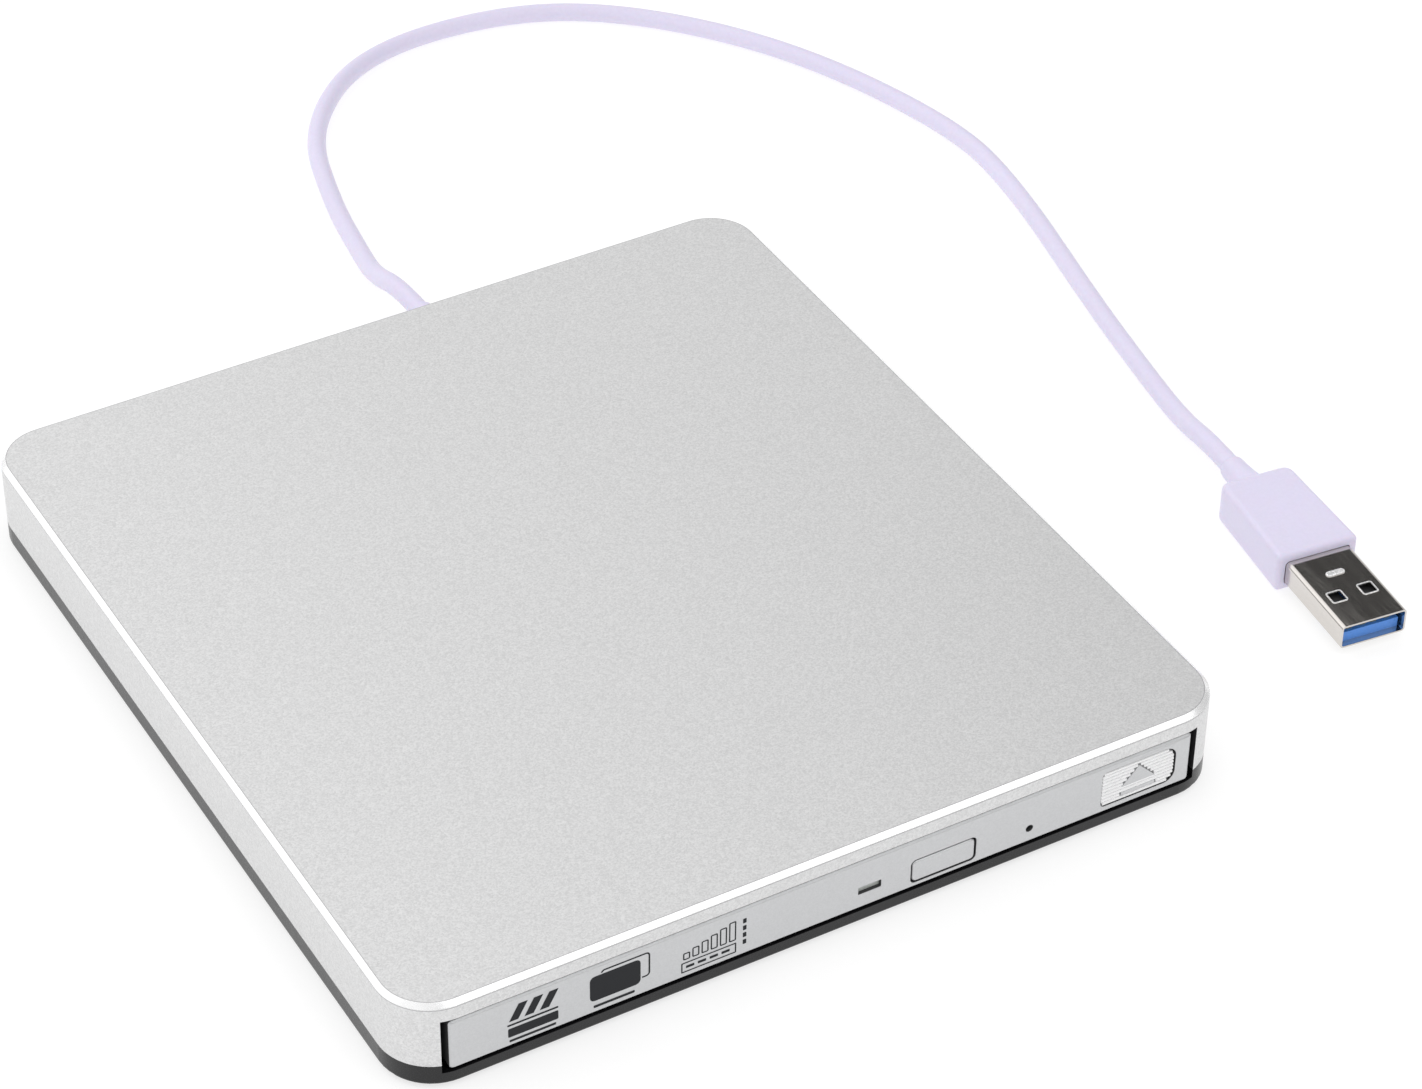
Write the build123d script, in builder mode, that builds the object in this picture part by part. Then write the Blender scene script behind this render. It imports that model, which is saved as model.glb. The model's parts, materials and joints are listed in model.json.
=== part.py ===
from build123d import *
import math
import os

# External optical drive: a slim tray drive in a two-part case, with its cord and plug.
# Millimetres. X is to the right seen from the front, Y to the back, Z up.
# The origin is on the surface the drive stands on, under the middle of the case.

# ---------------------------------------------------------------- case
case_side = 7.2             # bezel's end to the case's side
case_back = 27.0            # drive's back to the case's back
drive_lift = 1.85           # drive over the base floor
roof_gap = 2.4              # drive to the roof
foot_h = 0.6                # how far the feet stand below the base
corner_r = 8.8              # upright corners, outside
cover_wall = 1.2
cover_roof = 1.2
top_edge = 0.65             # chamfer round the cover's top
base_floor = 0.9
base_edge_r = 0.6           # rounding under the base
band_h = 3.8                # base showing below the cover
lip_t = 1.2                 # base lip that centres the cover
lip_h = 1.4
lip_gap = 0.1               # lip to cover
foot_r = 4.5
foot_recess = 0.4
foot_inset_x = 11.2         # foot centre from the case's side
foot_inset_y = 11.0         # foot centre from the case's front or back
screw_inset_x = 4.0         # case screw from the case's side
screw_inset_y = 13.0        # case screw from the case's front or back

# ---------------------------------------------------------------- drive
bezel_w = 128.0
drive_h = 9.5
drive_d = 127.0             # bezel face to the back of the chassis
bezel_t = 5.0
bezel_face = 1.6
bezel_rim = 1.0
bezel_edge = 0.35           # chamfer round the bezel's face
bezel_end_gap = 1.15        # bezel to the case at each end
bezel_top_gap = 0.35        # bezel to the case above
bezel_sill_gap = 0.45       # bezel to the base's front wall below it
bezel_back_gap = 0.4        # bezel to the chassis behind it
chassis_inset = 0.5         # chassis side from the bezel's end
sheet = 0.6                 # pressed steel of the chassis

# ---------------------------------------------------------------- tray and rails
tray_inset = 1.8            # tray's side from the chassis side
deck_z = 7.2                # deck over the drive's underside
well_depth = 1.6
well_floor = 1.2
well_r = 60.5
disc_z = 6.5                # where a disc lies, over the drive's underside
tray_back_gap = 0.5         # tray to the chassis back wall
fence_t = 1.5               # tray's front wall
tray_sheet = 0.4
tray_sheet_gap = 0.4        # tray's bottom cover to the chassis floor
runner_w = 3.8
runner_back = 113.0         # end of the runners behind the bezel face
guide_w = 2.3
guide_lip = 0.6             # guide's back behind its groove
guide_h = 3.35
rail_w = 3.6
rail_t = 1.0
rail_l = 108.0
rail_start = 15.0           # front of the rails behind the bezel face
slide_gap = 0.1             # rail to its grooves
runner_gap = 0.3            # tray's runner to the guide

# ---------------------------------------------------------------- spindle
spindle_x = 0.0
spindle_back = 64.5         # spindle behind the bezel face
rotor_r = 14.2
rotor_wall = 0.7
rotor_top = 0.6
shaft_r = 0.75
shaft_gap = 0.04
ring_t = 0.4
ring_w = 3.0
hub_r = 7.4
hub_h = 1.85
claw_count = 3
claw_w = 2.0
claw_h = 0.9
claw_reach = 0.3            # claw beyond the hub
base_r = 17.5               # motor base plate
stator_gap = 0.8

# ---------------------------------------------------------------- pick-up unit
feed_angle = 225.0          # the sled runs out towards the front left corner
plate_t = 0.8
plate_z = 3.0               # traverse plate's underside over the drive's underside
lens_in = 24.0              # lens to spindle with the sled in
rod_r = 0.8
rod_v = 14.0                # guide rods each side of the feed line
lug_l = 2.2                 # outer lugs that hold the rods
lug_half = 2.0
axis_z = 2.9                # rods and lead screw over the drive's underside
bore_gap = 0.06             # running fit on rods and lead screw
sled_margin = 2.0           # sled beyond the rods' centre lines
sled_in = 7.7               # sled from the lens towards the spindle
sled_out = 3.0
sled_h = 2.6
screw_margin = 5.0          # lead screw beyond the rod beside it
lead_r = 0.8
motor_r = 3.2
motor_l = 9.8
motor_h = 2.8
move_gap = 0.3              # between pieces that pass each other

# ------------------------------------------------ bezel features, from its right end and underside
led_x = 57.7
led_z = 3.6
led_w = 4.0
led_h = 1.4
button_x = 44.7
button_z = 3.2
button_w = 11.6
button_h = 4.6
button_r = 0.9
pin_x = 29.3
pin_z = 2.75
pin_r = 0.65
pad_x = 9.5
pad_z = 4.6
pad_w = 13.6
pad_h = 6.9
pad_r = 2.2
key_gap = 0.3               # key to its opening
key_travel = 0.5
stem_w = 2.4
stem_h = 1.2
stem_z = 2.85               # stems over the drive's underside

# ---------------------------------------------------------------- latch
post_side = 15.0            # latch post from the bezel's right end
post_back = 18.0            # latch post behind the bezel face
post_r = 1.0
pivot_side = 19.5           # lever's pivot from the bezel's right end
pivot_back = 35.0
pivot_r = 0.9
lever_t = 0.8
lever_w = 2.2
tooth_reach = 2.5           # tooth beyond the lever's centre line

# ---------------------------------------------------------------- boards
board_t = 0.8
bridge_t = 1.0
bridge_up = 2.85            # bridge board over the drive's underside
bridge_x = (-57.0, 50.0)
bridge_front = 4.5          # board's front edge from the drive's back
bridge_back = 7.0           # board's back edge from the case's back
connector_w = 28.0
connector_h = 5.0
connector_x = -43.0
interface_l = 12.0          # interface board, in front of the chassis back
interface_right = -23.0

# ---------------------------------------------------------------- cord and plug
cord_r = 1.75
gland_x = 14.0
gland_neck_r = 3.2
gland_flange = 1.0
gland_cone = 8.0
plug_turn = 6.0             # plug's nose, turned from -Y towards -X
relief_l = 7.0
mould_l = 21.5
mould_w = 15.0
mould_back_w = 13.4
mould_h = 7.4
shell_w = 12.0
shell_h = 4.5
shell_t = 0.35
shell_out = 18.0            # shell beyond the overmould
shell_in = 3.5              # shell held inside the overmould
tongue_t = 1.84

# ---------------------------------------------------------------- levels and places that follow
case_w = bezel_w + 2 * case_side
case_d = drive_d + case_back
chassis_w = bezel_w - 2 * chassis_inset
tray_w = chassis_w - 2 * tray_inset
sled_v = rod_v + sled_margin
screw_v = rod_v + screw_margin
feed_reach = 78.5           # u + |v| of the outer lugs, short of the tray's runner
lens_out = feed_reach - rod_v - lug_half - lug_l - move_gap - sled_out      # lens to spindle, sled out
z_base = foot_h
z_floor = z_base + base_floor
z_band = z_base + band_h
z_boss = z_band + lip_h
z_drive = z_floor + drive_lift
z_drive_top = z_drive + drive_h
z_roof = z_drive_top + roof_gap
z_top = z_roof + cover_roof
z_slot = z_drive_top + bezel_top_gap
z_chassis = z_drive + sheet
z_plate = z_drive_top - sheet
y_front = -case_d / 2
y_back = case_d / 2
y_bezel = y_front + bezel_t
y_chassis = y_bezel + bezel_back_gap
y_chassis_back = y_front + drive_d
x_chassis = chassis_w / 2
x_inner = x_chassis - sheet
slot_w = bezel_w + 2 * bezel_end_gap

z_tray_sheet = z_chassis + tray_sheet_gap
z_runner = z_tray_sheet + tray_sheet
z_deck = z_drive + deck_z
z_well = z_deck - well_depth
z_under = z_well - well_floor
y_tray_back = y_chassis_back - sheet - tray_back_gap
y_runner_back = y_front + runner_back
x_guide = x_inner - guide_w
x_groove = x_inner - guide_lip
x_runner = x_guide - runner_gap
x_rail = x_groove - slide_gap
z_rail = z_drive + 1.95
spindle_y = y_front + spindle_back
z_disc = z_drive + disc_z
z_rotor = z_disc - ring_t
z_trav = z_drive + plate_z
z_axis = z_drive + axis_z
z_sled = z_axis - sled_h / 2
rotor_low = z_trav + 0.4
bezel_right = bezel_w / 2
z_stem = z_drive + stem_z
post_x = bezel_right - post_side
pivot_x = bezel_right - pivot_side
z_board = z_under - board_t
screw_spots = [
    (side * (case_w / 2 - screw_inset_x), end * (case_d / 2 - screw_inset_y))
    for side in (-1, 1)
    for end in (-1, 1)
]
foot_spots = [
    (side * (case_w / 2 - foot_inset_x), end * (case_d / 2 - foot_inset_y))
    for side in (-1, 1)
    for end in (-1, 1)
]

BOTTOM = (Align.CENTER, Align.CENTER, Align.MIN)
TOP = (Align.CENTER, Align.CENTER, Align.MAX)
feed = Plane(
    origin=(spindle_x, spindle_y, 0),
    x_dir=(math.cos(math.radians(feed_angle)), math.sin(math.radians(feed_angle)), 0),
    z_dir=(0, 0, 1),
)


def block(x, y, z, mode=Mode.ADD, frame=Plane.XY):
    """A box that spans three (low, high) pairs of the frame, in the part in hand."""
    centre = [(low + high) / 2 for low, high in (x, y, z)]
    with Locations(frame.location * Location(centre)):
        Box(x[1] - x[0], y[1] - y[0], z[1] - z[0], mode=mode)


def post(x, y, z, radius, mode=Mode.ADD, frame=Plane.XY):
    """An upright cylinder at x, y of the frame, over the (low, high) pair z."""
    with Locations(frame.location * Location((x, y, z[0]))):
        Cylinder(radius, z[1] - z[0], align=BOTTOM, mode=mode)


def bar(x, y, z, radius, mode=Mode.ADD, frame=Plane.XY):
    """A cylinder along the frame's X, over the (low, high) pair x, at y and z."""
    with Locations(frame.location * Location(((x[0] + x[1]) / 2, y, z), (0, 90, 0))):
        Cylinder(radius, x[1] - x[0], mode=mode)


def slab(width, depth, radius, z, mode=Mode.ADD):
    """A plate with rounded upright corners, centred on the case, over the pair z."""
    with BuildSketch(Plane.XY.offset(z[0])) as outline:
        RectangleRounded(width, depth, radius)
    extrude(outline.sketch, amount=z[1] - z[0], mode=mode)


def screw(place, head_r, head_h, shank_r, length):
    """A pan head screw: the head stands up from the place and the shank runs down."""
    with Locations(place):
        Cylinder(head_r, head_h, align=BOTTOM)
        Cylinder(shank_r, length, align=TOP)
        with Locations((0, 0, head_h)):
            Box(1.2 * head_r, 0.3 * head_r, 0.5 * head_h, align=TOP, mode=Mode.SUBTRACT)
            Box(0.3 * head_r, 1.2 * head_r, 0.5 * head_h, align=TOP, mode=Mode.SUBTRACT)


def key_slab(x, z, width, height, radius, y, mode=Mode.ADD):
    """A rounded plate that faces the front, centred on x and z, over the (front, back) pair y."""
    face = Plane(origin=(x, y[0], z), x_dir=(1, 0, 0), z_dir=(0, -1, 0))
    with BuildSketch(face) as outline:
        RectangleRounded(width, height, radius)
    extrude(outline.sketch, amount=-(y[1] - y[0]), mode=mode)


made = []


def finish(builder, name):
    """Labels the piece and writes it."""
    builder.part.label = name
    export_step(builder.part, f"parts/{name}.step")
    made.append(name)


os.makedirs("parts", exist_ok=True)

# ---------------------------------------------------------------- case pieces
case_screw_r = 1.0
case_head_r = 1.8
case_head_h = 1.0
boss_r = 2.6
post_wall_r = 2.2
screw_sunk = 0.2
screw_end_gap = 0.3         # screw's end to the bottom of its hole
head_gap = 0.15             # round a sunk screw head
z_case_head = z_base + screw_sunk + case_head_h
case_screw_l = z_boss - z_case_head + 4.4

with BuildPart() as top_cover:
    slab(case_w, case_d, corner_r, (z_band, z_top))
    chamfer(top_cover.faces().sort_by(Axis.Z)[-1].edges(), top_edge)
    slab(
        case_w - 2 * cover_wall,
        case_d - 2 * cover_wall,
        corner_r - cover_wall,
        (z_band, z_roof),
        Mode.SUBTRACT,
    )
    block(
        (-slot_w / 2, slot_w / 2),
        (y_front - 1, y_front + cover_wall + 1),
        (z_band - 1, z_slot),
        Mode.SUBTRACT,
    )
    for x, y in screw_spots:
        post(x, y, (z_boss, z_roof), post_wall_r)
        post(x, y, (z_boss, z_case_head + case_screw_l + screw_end_gap), case_screw_r, Mode.SUBTRACT)
    with BuildSketch(Plane.XZ.offset(-y_back - 1)) as gland_notch:
        with Locations((gland_x, z_band + gland_neck_r)):
            Circle(gland_neck_r)
        with Locations((gland_x, z_band)):
            Rectangle(2 * gland_neck_r, gland_neck_r, align=(Align.CENTER, Align.MIN))
    extrude(gland_notch.sketch, amount=cover_wall + 2, mode=Mode.SUBTRACT)
finish(top_cover, "top_cover")

bridge_z = z_drive + bridge_up
bridge_y = (y_chassis_back + bridge_front, y_back - bridge_back)
board_post_r = 2.5
board_screw_r = 0.8
board_post_inset = 3.0
board_spots = [
    (x, y)
    for x in (bridge_x[0] + board_post_inset, bridge_x[1] - board_post_inset)
    for y in (bridge_y[0] + board_post_inset, bridge_y[1] - board_post_inset)
]
bracket_t = 0.8
bracket_w = 10.0
bracket_h = 5.0
bracket_back = 25.0         # bracket's back edge from the chassis back
bracket_y = (y_chassis_back - bracket_back - bracket_w, y_chassis_back - bracket_back)
bracket_mid = sum(bracket_y) / 2
bracket_z = z_drive + 1.65
bracket_hole_z = bracket_z + 3.2
bracket_foot = x_chassis + 5.0
bracket_screw_x = x_chassis + 3.1
ledge_gap = 1.1             # bracket's ledge to the chassis side
small_r = 0.8
small_head_r = 1.5
small_head_h = 0.7
x_lip = case_w / 2 - cover_wall - lip_gap
y_lip = case_d / 2 - cover_wall - lip_gap
strip_x = (x_chassis - 18.5, x_chassis - 15.5)
strip_y = (y_front + 12.0, y_chassis_back - 5.0)
gland_cut = 1.4 * gland_neck_r

with BuildPart() as base_pan:
    slab(case_w, case_d, corner_r, (z_base, z_band))
    fillet(base_pan.faces().sort_by(Axis.Z)[0].edges(), base_edge_r)
    slab(2 * x_lip, 2 * y_lip, corner_r - cover_wall, (z_band, z_boss))
    slab(
        2 * (x_lip - lip_t),
        2 * (y_lip - lip_t),
        corner_r - cover_wall - lip_t,
        (z_floor, z_boss),
        Mode.SUBTRACT,
    )
    for x, y in screw_spots:
        post(x, y, (z_floor, z_boss), boss_r)
    for x, y in screw_spots:
        post(x, y, (z_base, z_boss), case_screw_r, Mode.SUBTRACT)
        post(x, y, (z_base, z_case_head), case_head_r + head_gap, Mode.SUBTRACT)
    for x, y in foot_spots:
        post(x, y, (z_base, z_base + foot_recess), foot_r, Mode.SUBTRACT)
    block(
        (-slot_w / 2, slot_w / 2),
        (y_front - 1, y_bezel),
        (z_drive - bezel_sill_gap, z_boss + 1),
        Mode.SUBTRACT,
    )
    block(
        (gland_x - gland_cut, gland_x + gland_cut),
        (y_lip - lip_t - 1, y_lip + 1),
        (z_band, z_boss + 1),
        Mode.SUBTRACT,
    )
    for side in (-1, 1):
        block(sorted((side * strip_x[0], side * strip_x[1])), strip_y, (z_floor, z_drive))
        ledge = sorted((side * (x_chassis + ledge_gap), side * (x_lip - lip_t)))
        block(ledge, bracket_y, (z_floor, bracket_z))
        post(side * bracket_screw_x, bracket_mid, (z_floor + 0.6, bracket_z), small_r, Mode.SUBTRACT)
    for x, y in board_spots:
        post(x, y, (z_floor, bridge_z), board_post_r)
        post(x, y, (z_floor + 0.4, bridge_z), board_screw_r, Mode.SUBTRACT)
finish(base_pan, "base_pan")

with BuildPart() as rubber_feet:
    for x, y in foot_spots:
        post(x, y, (0, z_base + foot_recess), foot_r)
    fillet(rubber_feet.faces().group_by(Axis.Z)[0].edges(), 0.35)
finish(rubber_feet, "rubber_feet")

with BuildPart() as case_screws:
    for x, y in screw_spots:
        # driven from below, so each screw is turned over
        under = Location((x, y, z_case_head), (180, 0, 0))
        screw(under, case_head_r, case_head_h, case_screw_r, case_screw_l)
finish(case_screws, "case_screws")

# ---------------------------------------------------------------- drive frame
tab_l = 6.0
tab_w = 5.0
tab_inset = 3.4
tab_spots = [
    (side, y)
    for side in (-1, 1)
    for y in (y_chassis + tab_inset, y_chassis_back - sheet - tab_l - 1.4)
]
tab_screw_head = 0.4
rear_gap = 0.3
connector_half = connector_w / 2
z_connector = z_chassis + board_t
connector_y = (y_chassis_back - 5.5, y_chassis_back + 2.0)

with BuildPart() as drive_chassis:
    block((-x_chassis, x_chassis), (y_chassis, y_chassis_back), (z_drive, z_plate))
    block((-x_inner, x_inner), (y_chassis - 1, y_chassis_back - sheet), (z_chassis, z_plate), Mode.SUBTRACT)
    block(
        (connector_x - connector_half - rear_gap, connector_x + connector_half + rear_gap),
        (y_chassis_back - sheet - 1, y_chassis_back + 1),
        (z_chassis, z_connector + connector_h + rear_gap),
        Mode.SUBTRACT,
    )
    for side, y in tab_spots:
        across = sorted((side * x_inner, side * (x_inner - tab_w)))
        block(across, (y, y + tab_l), (z_plate - sheet, z_plate))
        post(side * (x_inner - tab_w / 2), y + tab_l / 2, (z_plate - sheet, z_plate), small_r, Mode.SUBTRACT)
    for side in (-1, 1):
        across = sorted((side * x_inner, side * x_chassis))
        bar(across, bracket_mid, bracket_hole_z, small_r, Mode.SUBTRACT)
finish(drive_chassis, "drive_chassis")

with BuildPart() as drive_top_plate:
    block((-x_chassis, x_chassis), (y_chassis, y_chassis_back), (z_plate, z_drive_top))
    for side, y in tab_spots:
        post(side * (x_inner - tab_w / 2), y + tab_l / 2, (z_plate, z_drive_top), small_r, Mode.SUBTRACT)
finish(drive_top_plate, "drive_top_plate")

with BuildPart() as chassis_screws:
    for side, y in tab_spots:
        place = Location((side * (x_inner - tab_w / 2), y + tab_l / 2, z_drive_top))
        screw(place, small_head_r, tab_screw_head, small_r, 2 * sheet)
finish(chassis_screws, "chassis_screws")

with BuildPart() as drive_brackets:
    for side in (-1, 1):
        leg = sorted((side * x_chassis, side * (x_chassis + bracket_t)))
        foot = sorted((side * x_chassis, side * bracket_foot))
        block(leg, bracket_y, (bracket_z, bracket_z + bracket_h))
        block(foot, bracket_y, (bracket_z, bracket_z + bracket_t))
        post(side * bracket_screw_x, bracket_mid, (bracket_z, bracket_z + bracket_t), small_r, Mode.SUBTRACT)
        bar(leg, bracket_mid, bracket_hole_z, small_r, Mode.SUBTRACT)
finish(drive_brackets, "drive_brackets")

with BuildPart() as bracket_screws:
    for side in (-1, 1):
        down = Location((side * bracket_screw_x, bracket_mid, bracket_z + bracket_t))
        screw(down, small_head_r, small_head_h, small_r, 2.0)
        across = Location((side * (x_chassis + bracket_t), bracket_mid, bracket_hole_z), (0, side * 90, 0))
        screw(across, small_head_r, small_head_h, small_r, bracket_t + sheet)
finish(bracket_screws, "bracket_screws")

guide_y = (y_chassis + 1.6, y_chassis_back - 2.0)
for side, word in ((-1, "left"), (1, "right")):
    with BuildPart() as rail_guide:
        block(sorted((side * x_guide, side * x_inner)), guide_y, (z_chassis, z_chassis + guide_h))
        block(
            sorted((side * (x_guide - 1), side * x_groove)),
            (guide_y[0] - 1, guide_y[1] + 1),
            (z_rail - slide_gap, z_rail + rail_t + slide_gap),
            Mode.SUBTRACT,
        )
    finish(rail_guide, f"rail_guide_{word}")

    with BuildPart() as slide_rail:
        block(
            sorted((side * (x_rail - rail_w), side * x_rail)),
            (y_front + rail_start, y_front + rail_start + rail_l),
            (z_rail, z_rail + rail_t),
        )
        chamfer(slide_rail.edges().filter_by(Axis.Z), 0.6)
    finish(slide_rail, f"slide_rail_{word}")

post_y = y_front + post_back
with BuildPart() as latch_post:
    post(post_x, post_y, (z_chassis, z_chassis + 1.95), post_r)
    chamfer(latch_post.faces().sort_by(Axis.Z)[-1].edges(), 0.2)
finish(latch_post, "latch_post")

spring_t = 0.3
spring_h = 1.0
spring_z = (z_runner + 2.0, z_runner + 2.0 + spring_h)
y_spring = y_chassis_back - sheet
spring_tip = (x_runner - 2.2, y_runner_back + spring_t / 2 + 0.05)
with BuildPart() as eject_spring:
    with BuildSketch(Plane.XY.offset(spring_z[0])) as leaf:
        with BuildLine() as leaf_path:
            FilletPolyline(
                (x_runner - 14, y_spring - spring_t / 2),
                (x_runner - 2, y_spring - spring_t / 2),
                (x_runner - 5, y_runner_back + 4),
                spring_tip,
                radius=1.2,
            )
        trace(leaf_path.line, line_width=spring_t)
    extrude(leaf.sketch, amount=spring_h)
finish(eject_spring, "eject_spring")

# ---------------------------------------------------------------- boards behind the drive
with BuildPart() as interface_board:
    block(
        (connector_x - connector_half, interface_right),
        (y_chassis_back - interface_l, y_chassis_back - sheet - 0.1),
        (z_chassis, z_connector),
    )
finish(interface_board, "interface_board")

with BuildPart() as drive_connector:
    block(
        (connector_x - connector_half, connector_x + connector_half),
        connector_y,
        (z_connector, z_connector + connector_h),
    )
    socket_x = (interface_right - 11.0, interface_right - 2.0)
    socket_y = (y_chassis_back - 10.0, y_chassis_back - 6.5)
    block(socket_x, socket_y, (z_connector, z_connector + 1.2))
finish(drive_connector, "drive_connector")

with BuildPart() as bridge_board:
    block(bridge_x, bridge_y, (bridge_z, bridge_z + bridge_t))
    for x, y in board_spots:
        post(x, y, (bridge_z, bridge_z + bridge_t), board_screw_r, Mode.SUBTRACT)
finish(bridge_board, "bridge_board")

with BuildPart() as bridge_connector:
    across = (connector_x - connector_half, connector_x + connector_half)
    block(across, (connector_y[1], bridge_y[0]), (z_connector, z_connector + connector_h))
    block(across, (bridge_y[0], bridge_y[0] + 4.0), (bridge_z + bridge_t, z_connector + connector_h))
    for x, y in board_spots:
        post(x, y, (bridge_z + bridge_t, z_connector + connector_h), small_head_r + 0.3, Mode.SUBTRACT)
finish(bridge_connector, "bridge_connector")

with BuildPart() as board_screws:
    for x, y in board_spots:
        place = Location((x, y, bridge_z + bridge_t))
        screw(place, small_head_r, small_head_h, board_screw_r, bridge_t + 2.0)
finish(board_screws, "board_screws")

z_parts = bridge_z + bridge_t
parts_y = bridge_y[0] + 5.0     # front edge of the parts on the bridge board
chip_side = 7.0
chip_x = -13.5
small_x = (-24.0, -21.0, -2.0, 1.5)
small_w = 1.6
small_d = 0.8
crystal_x = 24.0
can_x = 36.0
can_r = 2.0
with BuildPart() as bridge_chip:
    block((chip_x, chip_x + chip_side), (parts_y, parts_y + chip_side), (z_parts, z_parts + 0.9))
finish(bridge_chip, "bridge_chip")

with BuildPart() as bridge_parts:
    for x in small_x:
        for y in (parts_y, parts_y + 3.0):
            block((x, x + small_w), (y, y + small_d), (z_parts, z_parts + 0.6))
    block((crystal_x, crystal_x + 5.0), (parts_y, parts_y + 3.2), (z_parts, z_parts + 1.0))
    post(can_x, parts_y + can_r, (z_parts, z_parts + 5.0), can_r)
finish(bridge_parts, "bridge_parts")

# ---------------------------------------------------------------- cord
gland_z = z_band + gland_neck_r
y_inner_wall = y_back - cover_wall
gland_tip = y_back + gland_flange + gland_cone
flange_half = 1.3 * gland_neck_r
grip_t = 1.2                # gland's inner flange
header_w = 10.0

with BuildPart() as cable_header:
    across = (gland_x - header_w / 2, gland_x + header_w / 2)
    block(across, (bridge_y[1] - 4.0, bridge_y[1]), (z_parts, z_parts + 3.0))
finish(cable_header, "cable_header")

with BuildPart() as cord_gland:
    with BuildSketch(Plane.XZ.offset(-y_inner_wall)) as neck:
        with Locations((gland_x, gland_z)):
            Circle(gland_neck_r)
        with Locations((gland_x, z_band)):
            Rectangle(2 * gland_neck_r, gland_neck_r, align=(Align.CENTER, Align.MIN))
    extrude(neck.sketch, amount=-cover_wall)
    block(
        (gland_x - flange_half, gland_x + flange_half),
        (y_inner_wall - grip_t, y_inner_wall),
        (z_band, gland_z + flange_half),
    )
    with Locations(Location((gland_x, y_back, gland_z), (-90, 0, 0))):
        Cylinder(flange_half, gland_flange, align=BOTTOM)
    with BuildSketch(Plane(origin=(gland_x, 0, gland_z), x_dir=(1, 0, 0), z_dir=(0, 0, 1))) as cone:
        with BuildLine():
            Polyline(
                (0, y_back + gland_flange),
                (cord_r + 1.3, y_back + gland_flange),
                (cord_r + 0.45, gland_tip - 0.4),
                (cord_r + 0.1, gland_tip),
                (0, gland_tip),
                close=True,
            )
        make_face()
    revolve(cone.sketch, axis=Axis((gland_x, 0, gland_z), (0, 1, 0)))
finish(cord_gland, "cord_gland")

with BuildPart() as inner_cable:
    tail = Plane(origin=(gland_x, 0, gland_z), x_dir=(0, 1, 0), z_dir=(0, 0, 1))
    bar((bridge_y[1], y_inner_wall - grip_t), 0, 0, cord_r, frame=tail)
finish(inner_cable, "inner_cable")

plug_turn_rad = math.radians(plug_turn)
nose = Vector(-math.sin(plug_turn_rad), -math.cos(plug_turn_rad), 0)
plug_z = mould_h / 2
x_side = case_w / 2
plug_lead = 6.5             # straight run of cord behind the plug
cord_end = Vector(x_side + 44.25, -15.89, plug_z)
# the free cord, from the gland's tip over the floor to the plug's relief
cord_route = [
    Vector(gland_x, gland_tip, gland_z),
    Vector(gland_x, gland_tip + 8.5, gland_z),
    Vector(gland_x + 0.3, gland_tip + 19.5, gland_z - 4.2),
    Vector(gland_x + 2.2, y_back + 38.3, cord_r),
    Vector(gland_x + 4.6, y_back + 54.3, cord_r),
    Vector(gland_x + 11.6, y_back + 79.3, cord_r),
    Vector(gland_x + 31.7, y_back + 98.2, cord_r),
    Vector(x_side + 5.9, y_back + 98.4, cord_r),
    Vector(x_side + 28.2, y_back + 85.7, cord_r),
    Vector(x_side + 48.9, y_back + 58.1, cord_r),
    Vector(x_side + 61.2, y_back + 20.3, cord_r),
    Vector(x_side + 59.9, 74.0, cord_r),
    Vector(x_side + 52.0, 36.8, cord_r),
    Vector(x_side + 48.4, 16.3, cord_r),
    Vector(x_side + 46.1, 1.3, cord_r),
    cord_end - nose * plug_lead,
    cord_end,
]
runs = [b - a for a, b in zip(cord_route, cord_route[1:])]
cord_radii = []
bend_share = 0.45           # of the shorter run, taken up by the bend
for first, second in zip(runs, runs[1:]):
    bend = math.radians(first.get_angle(second))
    cord_radii.append(bend_share * min(first.length, second.length) / math.tan(bend / 2))
print("cord runs", [round(run.length, 1) for run in runs])
print("cord turns", [round(a.get_angle(b), 1) for a, b in zip(runs, runs[1:])])
print("cord radii", [round(radius, 1) for radius in cord_radii])

with BuildPart() as usb_cord:
    with BuildLine() as cord_path:
        FilletPolyline(*cord_route, radius=cord_radii)
    with BuildSketch(Plane(origin=cord_route[0], x_dir=(1, 0, 0), z_dir=runs[0].normalized())) as ring:
        Circle(cord_r)
    sweep(ring.sketch, path=cord_path.line)
finish(usb_cord, "usb_cord")
cord_length = sum(edge.length for edge in cord_path.edges())
tube = math.pi * cord_r**2 * cord_length
print("cord length", round(cord_length, 1), "volume ratio", round(usb_cord.part.volume / tube, 4))

# ------------------------------------------------ plug, from its relief's tip towards its nose
plug = Plane(origin=(cord_end.X, cord_end.Y, 0), x_dir=nose, z_dir=(0, 0, 1))
mould_x = (relief_l, relief_l + mould_l)
shell_x = (mould_x[1] - shell_in, mould_x[1] + shell_out)
shell_z = (plug_z - shell_h / 2, plug_z + shell_h / 2)
shell_edge = 0.7


def shell_section(grow):
    """The shell's rounded section, smaller by grow all round."""
    face = Plane(origin=plug.from_local_coords((shell_x[0], 0, plug_z)), x_dir=plug.y_dir, z_dir=nose)
    with BuildSketch(face) as section:
        RectangleRounded(shell_w - 2 * grow, shell_h - 2 * grow, shell_edge - grow)
    return section.sketch


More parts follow.
